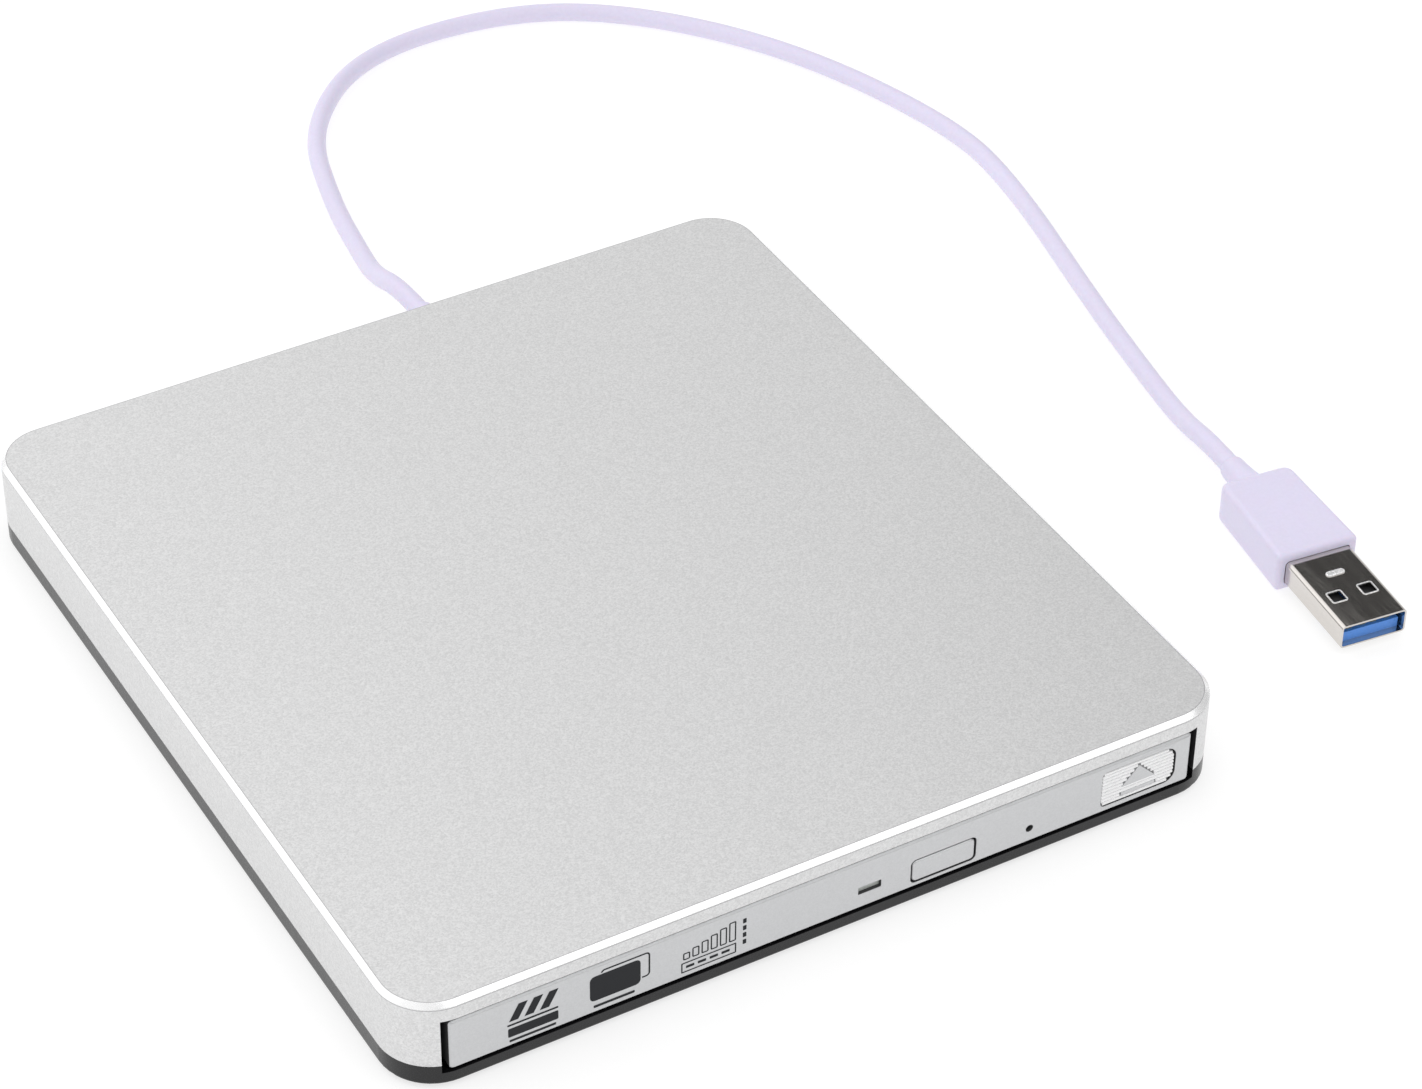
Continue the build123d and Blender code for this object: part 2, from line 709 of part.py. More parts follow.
with BuildPart() as plug_overmould:
    with BuildSketch(plug) as outline:
        with BuildLine():
            Polyline(
                (mould_x[0], -mould_back_w / 2),
                (mould_x[1], -mould_w / 2),
                (mould_x[1], mould_w / 2),
                (mould_x[0], mould_back_w / 2),
                close=True,
            )
        make_face()
        fillet(outline.vertices(), 1.4)
    extrude(outline.sketch, amount=mould_h)
    fillet(plug_overmould.edges().filter_by(Axis.Z, reverse=True), 0.9)
    with BuildSketch(plug.offset(plug_z)) as relief:
        with BuildLine():
            Polyline(
                (0, 0),
                (0, cord_r + 0.15),
                (0.5, cord_r + 0.45),
                (relief_l + 1.5, cord_r + 1.2),
                (relief_l + 1.5, 0),
                close=True,
            )
        make_face()
    revolve(relief.sketch, axis=Axis(plug.from_local_coords((0, 0, plug_z)), nose))
    extrude(shell_section(0), amount=shell_in, mode=Mode.SUBTRACT)
finish(plug_overmould, "plug_overmould")

window = 2.4
window_y = 2.85             # window's middle from the plug's middle
window_from_tip = 7.2
with BuildPart() as plug_shell:
    extrude(shell_section(0), amount=shell_in + shell_out)
    extrude(shell_section(shell_t), amount=shell_in + shell_out, mode=Mode.SUBTRACT)
    for side in (-1, 1):
        x = shell_x[1] - window_from_tip
        block(
            (x - window / 2, x + window / 2),
            (side * window_y - window / 2, side * window_y + window / 2),
            (shell_z[0] - 1, shell_z[1] + 1),
            Mode.SUBTRACT,
            frame=plug,
        )
finish(plug_shell, "plug_shell")

tongue_z = (shell_z[0] + shell_t, shell_z[0] + shell_t + tongue_t)
tongue_side_gap = 0.4
tongue_sunk = 1.2           # tongue's end inside the shell's end
tongue_half = shell_w / 2 - shell_t - tongue_side_gap
with BuildPart() as plug_tongue:
    block((shell_x[0], shell_x[1] - tongue_sunk), (-tongue_half, tongue_half), tongue_z, frame=plug)
    plug_back = shell_section(shell_t + 0.02)
    extrude(plug_back, amount=shell_in)
finish(plug_tongue, "plug_tongue")

contact_t = 0.12
with BuildPart() as plug_contacts:
    for spot in (-3.5, -1.0, 1.0, 3.5):
        block(
            (shell_x[1] - 9.2, shell_x[1] - 1.8),
            (spot - 0.5, spot + 0.5),
            (tongue_z[1], tongue_z[1] + contact_t),
            frame=plug,
        )
    for spot in (-4.0, -2.0, 0.0, 2.0, 4.0):
        block(
            (shell_x[1] - 13.5, shell_x[1] - 10.5),
            (spot - 0.35, spot + 0.35),
            (tongue_z[1], tongue_z[1] + contact_t),
            frame=plug,
        )
finish(plug_contacts, "plug_contacts")

# ---------------------------------------------------------------- tray
led_at = bezel_right - led_x
button_at = bezel_right - button_x
pin_at = bezel_right - pin_x
pad_at = bezel_right - pad_x
pad_stem = pad_at - 6.0
z_led = z_drive + led_z
z_button = z_drive + button_z
z_pin = z_drive + pin_z
z_pad = z_drive + pad_z
damper_spots = [(-20.0, -9.0), (-20.0, 13.0), (lens_out + 8.2, 0.0)]
damper_r = 2.6
damper_neck_r = 1.8
damper_screw_r = 0.8
rotor_hole = rotor_r + 2.3
channel_v = 8.5
channel_end = lens_out + 5.0
notch_x = connector_x + connector_half + 0.7
fence_top = z_plate - 0.45
strip_half = post_r + 0.8

with BuildPart() as tray:
    block((-tray_w / 2, tray_w / 2), (y_bezel, y_tray_back), (z_under, z_deck))
    for side in (-1, 1):
        across = sorted((side * x_runner, side * (x_runner - runner_w)))
        block(across, (y_bezel, y_runner_back), (z_runner, z_under))
    block((-x_runner, x_runner), (y_bezel, y_bezel + fence_t), (z_runner, fence_top))
    post(spindle_x, spindle_y, (z_well, z_deck), well_r, Mode.SUBTRACT)
    post(spindle_x, spindle_y, (z_under, z_well), rotor_hole, Mode.SUBTRACT)
    block((0, channel_end), (-channel_v, channel_v), (z_under, z_well), Mode.SUBTRACT, feed)
    for u, v in damper_spots:
        post(u, v, (z_under, z_well - 0.4), damper_screw_r, Mode.SUBTRACT, feed)
    for side in (-1, 1):
        groove = sorted((side * (x_runner + 1), side * (x_rail - rail_w - slide_gap)))
        block(
            groove,
            (y_bezel - 1, y_runner_back + 1),
            (z_rail - slide_gap, z_rail + rail_t + slide_gap),
            Mode.SUBTRACT,
        )
    block((-tray_w, notch_x), (connector_y[0] - 0.7, y_back), (z_under, z_deck), Mode.SUBTRACT)
    for x in (button_at, pad_stem):
        block(
            (x - stem_w / 2 - key_gap, x + stem_w / 2 + key_gap),
            (y_bezel - 1, y_bezel + fence_t + 1),
            (z_stem - stem_h / 2 - key_gap, z_stem + stem_h / 2 + key_gap),
            Mode.SUBTRACT,
        )
    block(
        (led_at - led_w / 2, led_at + led_w / 2),
        (y_bezel - 1, y_bezel + fence_t + 1),
        (z_led - led_h / 2, z_led + led_h / 2),
        Mode.SUBTRACT,
    )
    with Locations(Location((pin_at, y_bezel - 1, z_pin), (-90, 0, 0))):
        Cylinder(pin_r + 0.5, fence_t + 2, align=BOTTOM, mode=Mode.SUBTRACT)
finish(tray, "tray")

rib_spots = (104.0, 79.0, 19.5)     # from the bezel's right end
with BuildPart() as tray_bezel:
    key_slab(0, z_drive + drive_h / 2, bezel_w, drive_h, 0.6, (y_front, y_bezel))
    chamfer(tray_bezel.faces().sort_by(Axis.Y)[0].edges(), bezel_edge)
    block(
        (-bezel_w / 2 + bezel_rim, bezel_w / 2 - bezel_rim),
        (y_front + bezel_face, y_bezel),
        (z_drive + bezel_rim, z_drive_top - bezel_rim),
        Mode.SUBTRACT,
    )
    rib_z = (z_drive + bezel_rim, z_drive_top - bezel_rim)
    for spot in rib_spots:
        x = bezel_right - spot
        block((x - 0.5, x + 0.5), (y_front + bezel_face, y_bezel), rib_z)
    face_y = (y_front - 1, y_front + bezel_face)
    key_slab(button_at, z_button, button_w, button_h, button_r, face_y, Mode.SUBTRACT)
    key_slab(pad_at, z_pad, pad_w, pad_h, pad_r, face_y, Mode.SUBTRACT)
    block(
        (led_at - led_w / 2, led_at + led_w / 2),
        face_y,
        (z_led - led_h / 2, z_led + led_h / 2),
        Mode.SUBTRACT,
    )
    with Locations(Location((pin_at, face_y[0], z_pin), (-90, 0, 0))):
        Cylinder(pin_r, bezel_face + 1, align=BOTTOM, mode=Mode.SUBTRACT)
finish(tray_bezel, "tray_bezel")

led_sunk = 0.7
with BuildPart() as led_lens:
    block(
        (led_at - led_w / 2, led_at + led_w / 2),
        (y_front + led_sunk, y_bezel + fence_t - 0.3),
        (z_led - led_h / 2, z_led + led_h / 2),
    )
finish(led_lens, "led_lens")

flange_t = 0.6
flange_y = (y_front + bezel_face + 0.1, y_front + bezel_face + 0.1 + flange_t)
switch_y = y_bezel + 3.5
stem_end = switch_y - key_travel - 0.15
flange_low = z_drive + bezel_rim + 0.2

with BuildPart() as eject_button:
    key_slab(
        button_at,
        z_button,
        button_w - 2 * key_gap,
        button_h - 2 * key_gap,
        button_r - key_gap / 2,
        (y_front, flange_y[0]),
    )
    chamfer(eject_button.faces().sort_by(Axis.Y)[0].edges(), 0.2)
    block(
        (button_at - button_w / 2 - 1.2, button_at + button_w / 2 + 1.2),
        flange_y,
        (flange_low, z_button + button_h / 2 + 0.8),
    )
    block(
        (button_at - stem_w / 2, button_at + stem_w / 2),
        (flange_y[1], stem_end),
        (z_stem - stem_h / 2, z_stem + stem_h / 2),
    )
finish(eject_button, "eject_button")

rib_pitch = 0.66
rib_cut = 0.18
mark_w = 6.0
with BuildPart() as eject_pad:
    key_slab(
        pad_at,
        z_pad,
        pad_w - 2 * key_gap,
        pad_h - 2 * key_gap,
        pad_r - key_gap / 2,
        (y_front, flange_y[0]),
    )
    rib_rows = int((pad_h - 2 * key_gap) / rib_pitch) - 1
    for row in range(rib_rows):
        z = z_pad + (row - (rib_rows - 1) / 2) * rib_pitch
        groove_y = (y_front - 1, y_front + rib_cut)
        block((pad_at - pad_w, pad_at + pad_w), groove_y, (z - 0.13, z + 0.13), Mode.SUBTRACT)
    pad_face = Plane(origin=(pad_at, y_front + rib_cut, z_pad), x_dir=(1, 0, 0), z_dir=(0, -1, 0))
    with BuildSketch(pad_face) as mark:
        with BuildLine():
            Polyline((-mark_w / 2, -0.7), (mark_w / 2, -0.7), (0, 2.3), close=True)
        make_face()
        with Locations((0, -1.75)):
            Rectangle(mark_w, 0.7)
    extrude(mark.sketch, amount=rib_cut)
    block(
        (pad_at - pad_w / 2 - 0.6, pad_at + pad_w / 2 + 0.6),
        flange_y,
        (flange_low, z_drive_top - bezel_rim - 0.15),
    )
    block(
        (pad_stem - stem_w / 2, pad_stem + stem_w / 2),
        (flange_y[1], stem_end),
        (z_stem - stem_h / 2, z_stem + stem_h / 2),
    )
finish(eject_pad, "eject_pad")

with BuildPart() as tray_bottom_cover:
    block(
        (-x_runner, x_runner),
        (y_bezel + 0.5, y_runner_back),
        (z_tray_sheet, z_runner),
    )
    block(
        (post_x - strip_half, post_x + strip_half),
        (post_y - 3.0, y_runner_back + 1),
        (z_tray_sheet, z_runner),
        Mode.SUBTRACT,
    )
finish(tray_bottom_cover, "tray_bottom_cover")

# ---------------------------------------------------------------- pick-up unit on the tray
plate_in = -24.0
plate_out = lens_out + 7.5
plate_low = -rod_v - 6.0
plate_high = screw_v + 5.0
reach_low = 79.0            # u + |v| where the plate must stop short of the runner
reach_high = 81.0           # u + v where it must stop short of the tray's front wall
window_in = 14.9
window_out = lens_out + sled_out + move_gap
window_v = sled_v + 0.8
lug_in = (lens_in - sled_in - move_gap - 2.8, lens_in - sled_in - move_gap)
lug_out = (window_out, window_out + lug_l)
lug_v = (rod_v - lug_half, rod_v + lug_half)
z_lug = (z_sled, z_sled + sled_h)
slot_v = (screw_v - 3.4, screw_v + 3.4)
arm_t = 0.8
arm_rail = 1.5
bracket_out = reach_high + 0.3 - arm_t - arm_rail - slot_v[1]

with BuildPart() as traverse_plate:
    with BuildSketch(feed.offset(z_trav)) as plate_outline:
        with BuildLine():
            Polyline(
                (plate_in, plate_low + 6),
                (plate_in + 6, plate_low),
                (reach_low + plate_low, plate_low),
                (plate_out, plate_out - reach_low),
                (plate_out, reach_high - plate_out),
                (reach_high - plate_high, plate_high),
                (plate_in + 6, plate_high),
                (plate_in, plate_high - 6),
                close=True,
            )
        make_face()
        with Locations((plate_out, 0)):
            Rectangle(9.0, 9.0)
        Circle(base_r - 2, mode=Mode.SUBTRACT)
        for u, v in damper_spots:
            with Locations((u, v)):
                Circle(damper_neck_r, mode=Mode.SUBTRACT)
    extrude(plate_outline.sketch, amount=plate_t)
    plate_span = (z_trav - 1, z_trav + plate_t + 1)
    block((window_in, window_out), (-window_v, window_v), plate_span, Mode.SUBTRACT, feed)
    block((1.5, bracket_out + 1.4), slot_v, plate_span, Mode.SUBTRACT, feed)
    for side in (-1, 1):
        across = sorted((side * lug_v[0], side * lug_v[1]))
        block(lug_in, across, z_lug, frame=feed)
        block(lug_out, across, z_lug, frame=feed)
    for side in (-1, 1):
        bar((lug_in[0], lug_out[1]), side * rod_v, z_axis, rod_r, Mode.SUBTRACT, feed)
finish(traverse_plate, "traverse_plate")

with BuildPart() as guide_rods:
    for side in (-1, 1):
        bar((lug_in[0], lug_out[1]), side * rod_v, z_axis, rod_r, frame=feed)
finish(guide_rods, "guide_rods")

with BuildPart() as traverse_dampers:
    for u, v in damper_spots:
        post(u, v, (z_trav - 0.8, z_trav), damper_r, frame=feed)
        post(u, v, (z_trav, z_trav + plate_t), damper_neck_r, frame=feed)
        post(u, v, (z_trav + plate_t, z_under), damper_r, frame=feed)
        post(u, v, (z_trav - 0.8, z_under), damper_screw_r, Mode.SUBTRACT, feed)
finish(traverse_dampers, "traverse_dampers")

with BuildPart() as damper_screws:
    for u, v in damper_spots:
        place = feed.location * Location((u, v, z_trav - 0.8), (180, 0, 0))
        screw(place, 1.9, 0.6, damper_screw_r, 0.8 + plate_t + 0.6 + 0.7)
finish(damper_screws, "damper_screws")

cover_t = 0.25
with BuildPart() as pickup_cover:
    with BuildSketch(feed.offset(z_well)) as cover_outline:
        with BuildLine():
            Polyline(
                (-19, -10),
                (-12, -17),
                (44, -17),
                (56, -12),
                (56, 14),
                (50, 21),
                (-8, 21),
                (-19, 10),
                close=True,
            )
        make_face()
        fillet(cover_outline.vertices(), 3.0)
        Circle(rotor_r + 0.8, mode=Mode.SUBTRACT)
        with Locations((channel_end / 2 + 5, 0)):
            Rectangle(channel_end + 5, 2 * channel_v - 0.6, mode=Mode.SUBTRACT)
    extrude(cover_outline.sketch, amount=cover_t)
finish(pickup_cover, "pickup_cover")

bearing_r = 2.6
bearing_h = 2.0
with BuildPart() as spindle_motor_base:
    post(0, 0, (z_trav - plate_t, z_trav), base_r, frame=feed)
    block((window_in - 0.5, base_r + 1), (-base_r, base_r), (z_trav - 1, z_trav + 1), Mode.SUBTRACT, feed)
    motor_side = screw_v - motor_r - move_gap
    block((-base_r, base_r), (motor_side, base_r + 1), (z_trav - 1, z_trav + 1), Mode.SUBTRACT, feed)
    post(0, 0, (z_trav, z_trav + bearing_h), bearing_r, frame=feed)
    post(0, 0, (z_trav - plate_t, z_trav + bearing_h), shaft_r + shaft_gap, Mode.SUBTRACT, feed)
finish(spindle_motor_base, "spindle_motor_base")

rotor_span = (rotor_low, z_rotor)
stator_r = rotor_r - rotor_wall - stator_gap
stator_h = 1.9
with BuildPart() as spindle_stator:
    post(0, 0, (z_trav, z_trav + stator_h), stator_r, frame=feed)
    post(0, 0, (z_trav, z_trav + stator_h), bearing_r, Mode.SUBTRACT, feed)
    for turn in range(9):
        with Locations(feed.location * Location((0, 0, z_trav + 0.4), (0, 0, 40 * turn))):
            with Locations((stator_r - 2.5, 0, 0)):
                Box(6.0, 1.0, stator_h, align=BOTTOM, mode=Mode.SUBTRACT)
finish(spindle_stator, "spindle_stator")

with BuildPart() as turntable:
    post(0, 0, rotor_span, rotor_r, frame=feed)
    chamfer(turntable.faces().sort_by(Axis.Z)[-1].edges(), 0.2)
    post(0, 0, (rotor_low, z_rotor - rotor_top), rotor_r - rotor_wall, Mode.SUBTRACT, feed)
    post(0, 0, (z_trav - plate_t + 0.2, z_rotor - rotor_top), shaft_r, frame=feed)
finish(turntable, "turntable")

with BuildPart() as turntable_ring:
    post(0, 0, (z_rotor, z_disc), rotor_r - 0.3, frame=feed)
    post(0, 0, (z_rotor, z_disc), rotor_r - 0.3 - ring_w, Mode.SUBTRACT, feed)
finish(turntable_ring, "turntable_ring")

z_hub = z_rotor + hub_h
claw_z = (z_disc + 1.3 - claw_h, z_disc + 1.3)
claw_in = hub_r - 1.8
with BuildPart() as clamp_hub:
    post(0, 0, (z_rotor, z_hub), hub_r, frame=feed)
    chamfer(clamp_hub.faces().sort_by(Axis.Z)[-1].edges(), 0.35)
    post(0, 0, (z_hub - 0.5, z_hub), 3.2, Mode.SUBTRACT, feed)
    for turn in range(claw_count):
        with Locations(feed.location * Location((0, 0, claw_z[0]), (0, 0, 360 / claw_count * turn))):
            with Locations((claw_in, 0, 0)):
                Box(3.0, claw_w, claw_h, align=(Align.MIN, Align.CENTER, Align.MIN), mode=Mode.SUBTRACT)
finish(clamp_hub, "clamp_hub")

with BuildPart() as disc_claws:
    for turn in range(claw_count):
        with Locations(feed.location * Location((0, 0, claw_z[0]), (0, 0, 360 / claw_count * turn))):
            with Locations((claw_in, 0, 0)):
                Box(hub_r + claw_reach - claw_in, claw_w, claw_h, align=(Align.MIN, Align.CENTER, Align.MIN))
finish(disc_claws, "disc_claws")

lens_r = 2.0
actuator_v = 7.0
z_actuator = z_well - 0.05
with BuildPart() as pickup_sled:
    block((lens_in - sled_in, lens_in + sled_out), (-sled_v, sled_v), z_lug, frame=feed)
    for side in (-1, 1):
        bar(
            (lens_in - sled_in - 1, lens_in + sled_out + 1),
            side * rod_v,
            z_axis,
            rod_r + bore_gap,
            Mode.SUBTRACT,
            feed,
        )
finish(pickup_sled, "pickup_sled")

with BuildPart() as lens_actuator:
    block(
        (lens_in - 6.0, lens_in + 4.3),
        (-actuator_v, actuator_v),
        (z_lug[1], z_actuator),
        frame=feed,
    )
    chamfer(lens_actuator.faces().sort_by(Axis.Z)[-1].edges(), 0.3)
finish(lens_actuator, "lens_actuator")

with BuildPart() as objective_lens:
    post(lens_in, 0, (z_actuator, z_actuator + 0.3), lens_r, frame=feed)
    chamfer(objective_lens.faces().sort_by(Axis.Z)[-1].edges(), 0.25, 0.5)
finish(objective_lens, "objective_lens")

nut_u = (lens_in - 7.0, lens_in - 2.0)
with BuildPart() as sled_nut:
    block(nut_u, (sled_v, screw_v + 1.6), z_lug, frame=feed)
    bar((nut_u[0] - 1, nut_u[1] + 1), screw_v, z_axis, lead_r + bore_gap, Mode.SUBTRACT, feed)
finish(sled_nut, "sled_nut")

arm_u = (lug_in[0] - 1.6, bracket_out)
with BuildPart() as motor_bracket:
    block((arm_u[0], arm_u[1] + arm_t), (slot_v[1], slot_v[1] + arm_rail), (z_trav - 0.8, z_trav), frame=feed)
    for u in arm_u:
        block((u, u + arm_t), (sled_v + 1.2, slot_v[1]), z_lug, frame=feed)
        bar((u - 1, u + arm_t + 1), screw_v, z_axis, lead_r + bore_gap, Mode.SUBTRACT, feed)
finish(motor_bracket, "motor_bracket")

with BuildPart() as sled_motor:
    can_end = feed.from_local_coords((arm_u[0] - motor_l, screw_v, z_axis))
    with BuildSketch(Plane(origin=can_end, x_dir=feed.y_dir, z_dir=feed.x_dir)) as can:
        Circle(motor_r)
        Rectangle(2 * motor_r, motor_h, mode=Mode.INTERSECT)
    extrude(can.sketch, amount=motor_l)
finish(sled_motor, "sled_motor")

with BuildPart() as lead_screw:
    bar((arm_u[0] + 0.1, arm_u[1] + arm_t - 0.2), screw_v, z_axis, lead_r, frame=feed)
finish(lead_screw, "lead_screw")

# ---------------------------------------------------------------- main board, switches and latch on the tray
board_gap = 3.5
board_x = (spindle_x, x_runner - runner_w - 2.0)
board_y = (y_bezel + fence_t + 2.0, spindle_y)
board_reach = (plate_high + board_gap) * math.sqrt(2)
with BuildPart() as main_board:
    with BuildSketch(Plane.XY.offset(z_board)) as outline:
        with BuildLine():
            Polyline(
                (board_y[0] - spindle_y + board_reach + spindle_x, board_y[0]),
                (board_x[1], board_y[0]),
                (board_x[1], board_x[1] - spindle_x - board_reach + spindle_y),
                close=True,
            )
        make_face()
    extrude(outline.sketch, amount=board_t)
finish(main_board, "main_board")

with BuildPart() as board_chips:
    # from the bezel's right end, behind the bezel's face, side, height
    for spot, back, size, height in ((48.0, 25.0, 11.0, 1.2), (26.0, 52.0, 7.0, 1.0), (37.0, 39.0, 5.0, 0.9)):
        x = bezel_right - spot
        y = y_front + back
        block((x - size / 2, x + size / 2), (y - size / 2, y + size / 2), (z_board - height, z_board))
    for spot in (40.0, 37.0, 34.0):
        x = bezel_right - spot
        block((x, x + small_w), (y_front + 15.0, y_front + 16.0), (z_board - 0.7, z_board))
    front_socket_x = (bezel_right - 64.0, bezel_right - 54.0)
    block(front_socket_x, (y_front + 11.0, y_front + 14.5), (z_board - 1.2, z_board))
finish(board_chips, "board_chips")

with BuildPart() as eject_switches:
    for x in (button_at, pad_stem):
        block((x - 2.0, x + 2.0), (switch_y, switch_y + 3.0), (z_stem - 0.8, z_board))
finish(eject_switches, "eject_switches")

pivot_y = y_front + pivot_back
lever_z = (z_runner + 0.35, z_runner + 0.35 + lever_t)
lever_front = y_front + post_back + post_r
with BuildPart() as latch_pivot:
    post(pivot_x, pivot_y, (z_runner, z_board), pivot_r)
finish(latch_pivot, "latch_pivot")

with BuildPart() as latch_lever:
    post(pivot_x, pivot_y, lever_z, pivot_r + 1.3)
    block((pivot_x - lever_w / 2, pivot_x + lever_w / 2), (lever_front, pivot_y), lever_z)
    block((pivot_x, pivot_x + tooth_reach), (lever_front, lever_front + 1.4), lever_z)
    block((pin_at - 1.1, pivot_x), (pivot_y - 1.0, pivot_y + 1.0), lever_z)
    post(pivot_x, pivot_y, lever_z, pivot_r + 0.05, Mode.SUBTRACT)
finish(latch_lever, "latch_lever")

with BuildPart() as latch_solenoid:
    coil_x = (pin_at + 2.2, pivot_x - lever_w / 2 - 0.8)
    block(coil_x, (y_bezel + 5.0, y_bezel + 19.0), (z_runner + 0.2, z_board))
finish(latch_solenoid, "latch_solenoid")

print(len(made), "pieces")
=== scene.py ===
import bmesh
import bpy
import json
import math
from mathutils import Matrix, Vector


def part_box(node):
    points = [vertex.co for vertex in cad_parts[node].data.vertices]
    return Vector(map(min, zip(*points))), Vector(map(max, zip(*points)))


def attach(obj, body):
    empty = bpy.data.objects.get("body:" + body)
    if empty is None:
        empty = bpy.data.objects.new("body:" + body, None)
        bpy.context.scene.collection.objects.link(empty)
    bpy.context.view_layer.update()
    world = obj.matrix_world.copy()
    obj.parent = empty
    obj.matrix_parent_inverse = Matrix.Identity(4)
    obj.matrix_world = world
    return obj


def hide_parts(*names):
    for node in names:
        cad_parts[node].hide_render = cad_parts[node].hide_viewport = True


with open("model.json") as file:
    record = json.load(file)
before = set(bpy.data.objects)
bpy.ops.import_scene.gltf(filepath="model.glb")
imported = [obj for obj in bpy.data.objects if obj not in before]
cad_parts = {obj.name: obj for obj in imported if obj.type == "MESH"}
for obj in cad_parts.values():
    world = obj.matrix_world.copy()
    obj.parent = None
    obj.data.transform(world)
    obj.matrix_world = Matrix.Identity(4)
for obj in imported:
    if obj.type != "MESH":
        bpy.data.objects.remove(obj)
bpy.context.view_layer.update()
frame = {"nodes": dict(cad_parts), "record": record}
nodes = frame["nodes"]
scene = bpy.context.scene

# Pieces are modelled in millimetres, in the CAD frame, and scaled to metres as they are finished.
MM = 0.001
BIG_FACE = 3e-6     # square metres: a larger face with many corners is shaded flat


def low(node):
    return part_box(node)[0] / MM


def high(node):
    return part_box(node)[1] / MM


# ------------------------------------------------------------------ camera
CAM_AT = (-0.25005, -0.46699, 0.44639)
CAM_AZ = math.radians(-28.871)
CAM_EL = math.radians(38.739)
CAM_ROLL = math.radians(-0.208)
back = Vector((math.sin(CAM_AZ) * math.cos(CAM_EL), -math.cos(CAM_AZ) * math.cos(CAM_EL), math.sin(CAM_EL)))
right = Vector((math.cos(CAM_AZ), math.sin(CAM_AZ), 0))
up = back.cross(right)
level_right = math.cos(CAM_ROLL) * right + math.sin(CAM_ROLL) * up
level_up = -math.sin(CAM_ROLL) * right + math.cos(CAM_ROLL) * up
camera = bpy.data.objects.new("camera", bpy.data.cameras.new("camera"))
scene.collection.objects.link(camera)
camera.matrix_world = Matrix.Translation(CAM_AT) @ Matrix((level_right, level_up, back)).transposed().to_4x4()
camera.data.sensor_width = 36
camera.data.lens = 108.43
camera.data.shift_x = 0.05997
camera.data.shift_y = -0.001846
camera.data.clip_start = 0.01
scene.camera = camera

# ------------------------------------------------------------------ materials


def material(name, color, rough=0.5, metal=0.0, **sockets):
    """A principled material, with its own sockets set, and its node tree and shader."""
    mat = bpy.data.materials.new(name)
    mat.use_nodes = True
    tree = mat.node_tree
    shader = tree.nodes["Principled BSDF"]
    shader.inputs["Base Color"].default_value = (*color, 1)
    shader.inputs["Roughness"].default_value = rough
    shader.inputs["Metallic"].default_value = metal
    for key, value in sockets.items():
        shader.inputs[key.replace("_", " ")].default_value = value
    return mat, tree, shader


def coords(tree, scale=(1, 1, 1)):
    """Object coordinates, which are the row frame's metres, stretched by scale."""
    place = tree.nodes.new("ShaderNodeTexCoord")
    mapping = tree.nodes.new("ShaderNodeMapping")
    mapping.inputs["Scale"].default_value = scale
    tree.links.new(place.outputs["Object"], mapping.inputs["Vector"])
    return mapping.outputs["Vector"]


def noise(tree, vector, size, detail=2.0, rough=0.5):
    """A noise whose features are about size metres across."""
    node = tree.nodes.new("ShaderNodeTexNoise")
    node.inputs["Scale"].default_value = 1 / size
    node.inputs["Detail"].default_value = detail
    node.inputs["Roughness"].default_value = rough
    tree.links.new(vector, node.inputs["Vector"])
    return node.outputs["Fac"]


def spread(tree, value, start, end, to_low, to_high):
    """The value's stretch from start to end, mapped to to_low and to_high and held there."""
    node = tree.nodes.new("ShaderNodeMapRange")
    for key, number in (("From Min", start), ("From Max", end), ("To Min", to_low), ("To Max", to_high)):
        node.inputs[key].default_value = number
    tree.links.new(value, node.inputs["Value"])
    return node.outputs["Result"]


def mix_color(tree, factor, first, second):
    node = tree.nodes.new("ShaderNodeMix")
    node.data_type = "RGBA"
    for socket, value in ((6, first), (7, second)):
        if isinstance(value, tuple):
            node.inputs[socket].default_value = (*value, 1)
        else:
            tree.links.new(value, node.inputs[socket])
    tree.links.new(factor, node.inputs[0])
    return node.outputs[2]


def math_node(tree, operation, first, second):
    node = tree.nodes.new("ShaderNodeMath")
    node.operation = operation
    for socket, value in ((0, first), (1, second)):
        if isinstance(value, (int, float)):
            node.inputs[socket].default_value = value
        else:
            tree.links.new(value, node.inputs[socket])
    return node.outputs[0]


def bump(tree, shader, height, strength, depth):
    """A bump of that depth in metres from a height between 0 and 1."""
    node = tree.nodes.new("ShaderNodeBump")
    node.inputs["Strength"].default_value = strength
    node.inputs["Distance"].default_value = depth
    tree.links.new(height, node.inputs["Height"])
    tree.links.new(node.outputs["Normal"], shader.inputs["Normal"])


def tinted(color, factor):
    return tuple(min(1.0, channel * factor) for channel in color)


def plain(name, color, rough, metal=0.0, grain=0.0004, tint=0.06, rough_by=0.05, relief=0.00001,
          stretch=(1, 1, 1), **sockets):
    """Fine mottling in colour and gloss over a shallow grain: moulded plastic, sheet or paint."""
    mat, tree, shader = material(name, color, rough, metal, **sockets)
    vector = coords(tree, stretch)
    fine = noise(tree, vector, grain, 3.0)
    broad = noise(tree, vector, grain * 40, 2.0)
    fine_part = math_node(tree, "MULTIPLY", fine, 0.6)
    broad_part = math_node(tree, "MULTIPLY", broad, 0.4)
    both = math_node(tree, "ADD", fine_part, broad_part)
    shade = spread(tree, both, 0.35, 0.65, 0.0, 1.0)
    mottled = mix_color(tree, shade, tinted(color, 1 - tint), tinted(color, 1 + tint))
    tree.links.new(mottled, shader.inputs["Base Color"])
    gloss = spread(tree, both, 0.3, 0.7, rough - rough_by, rough + rough_by)
    tree.links.new(gloss, shader.inputs["Roughness"])
    bump(tree, shader, fine, 0.6, relief)
    return mat


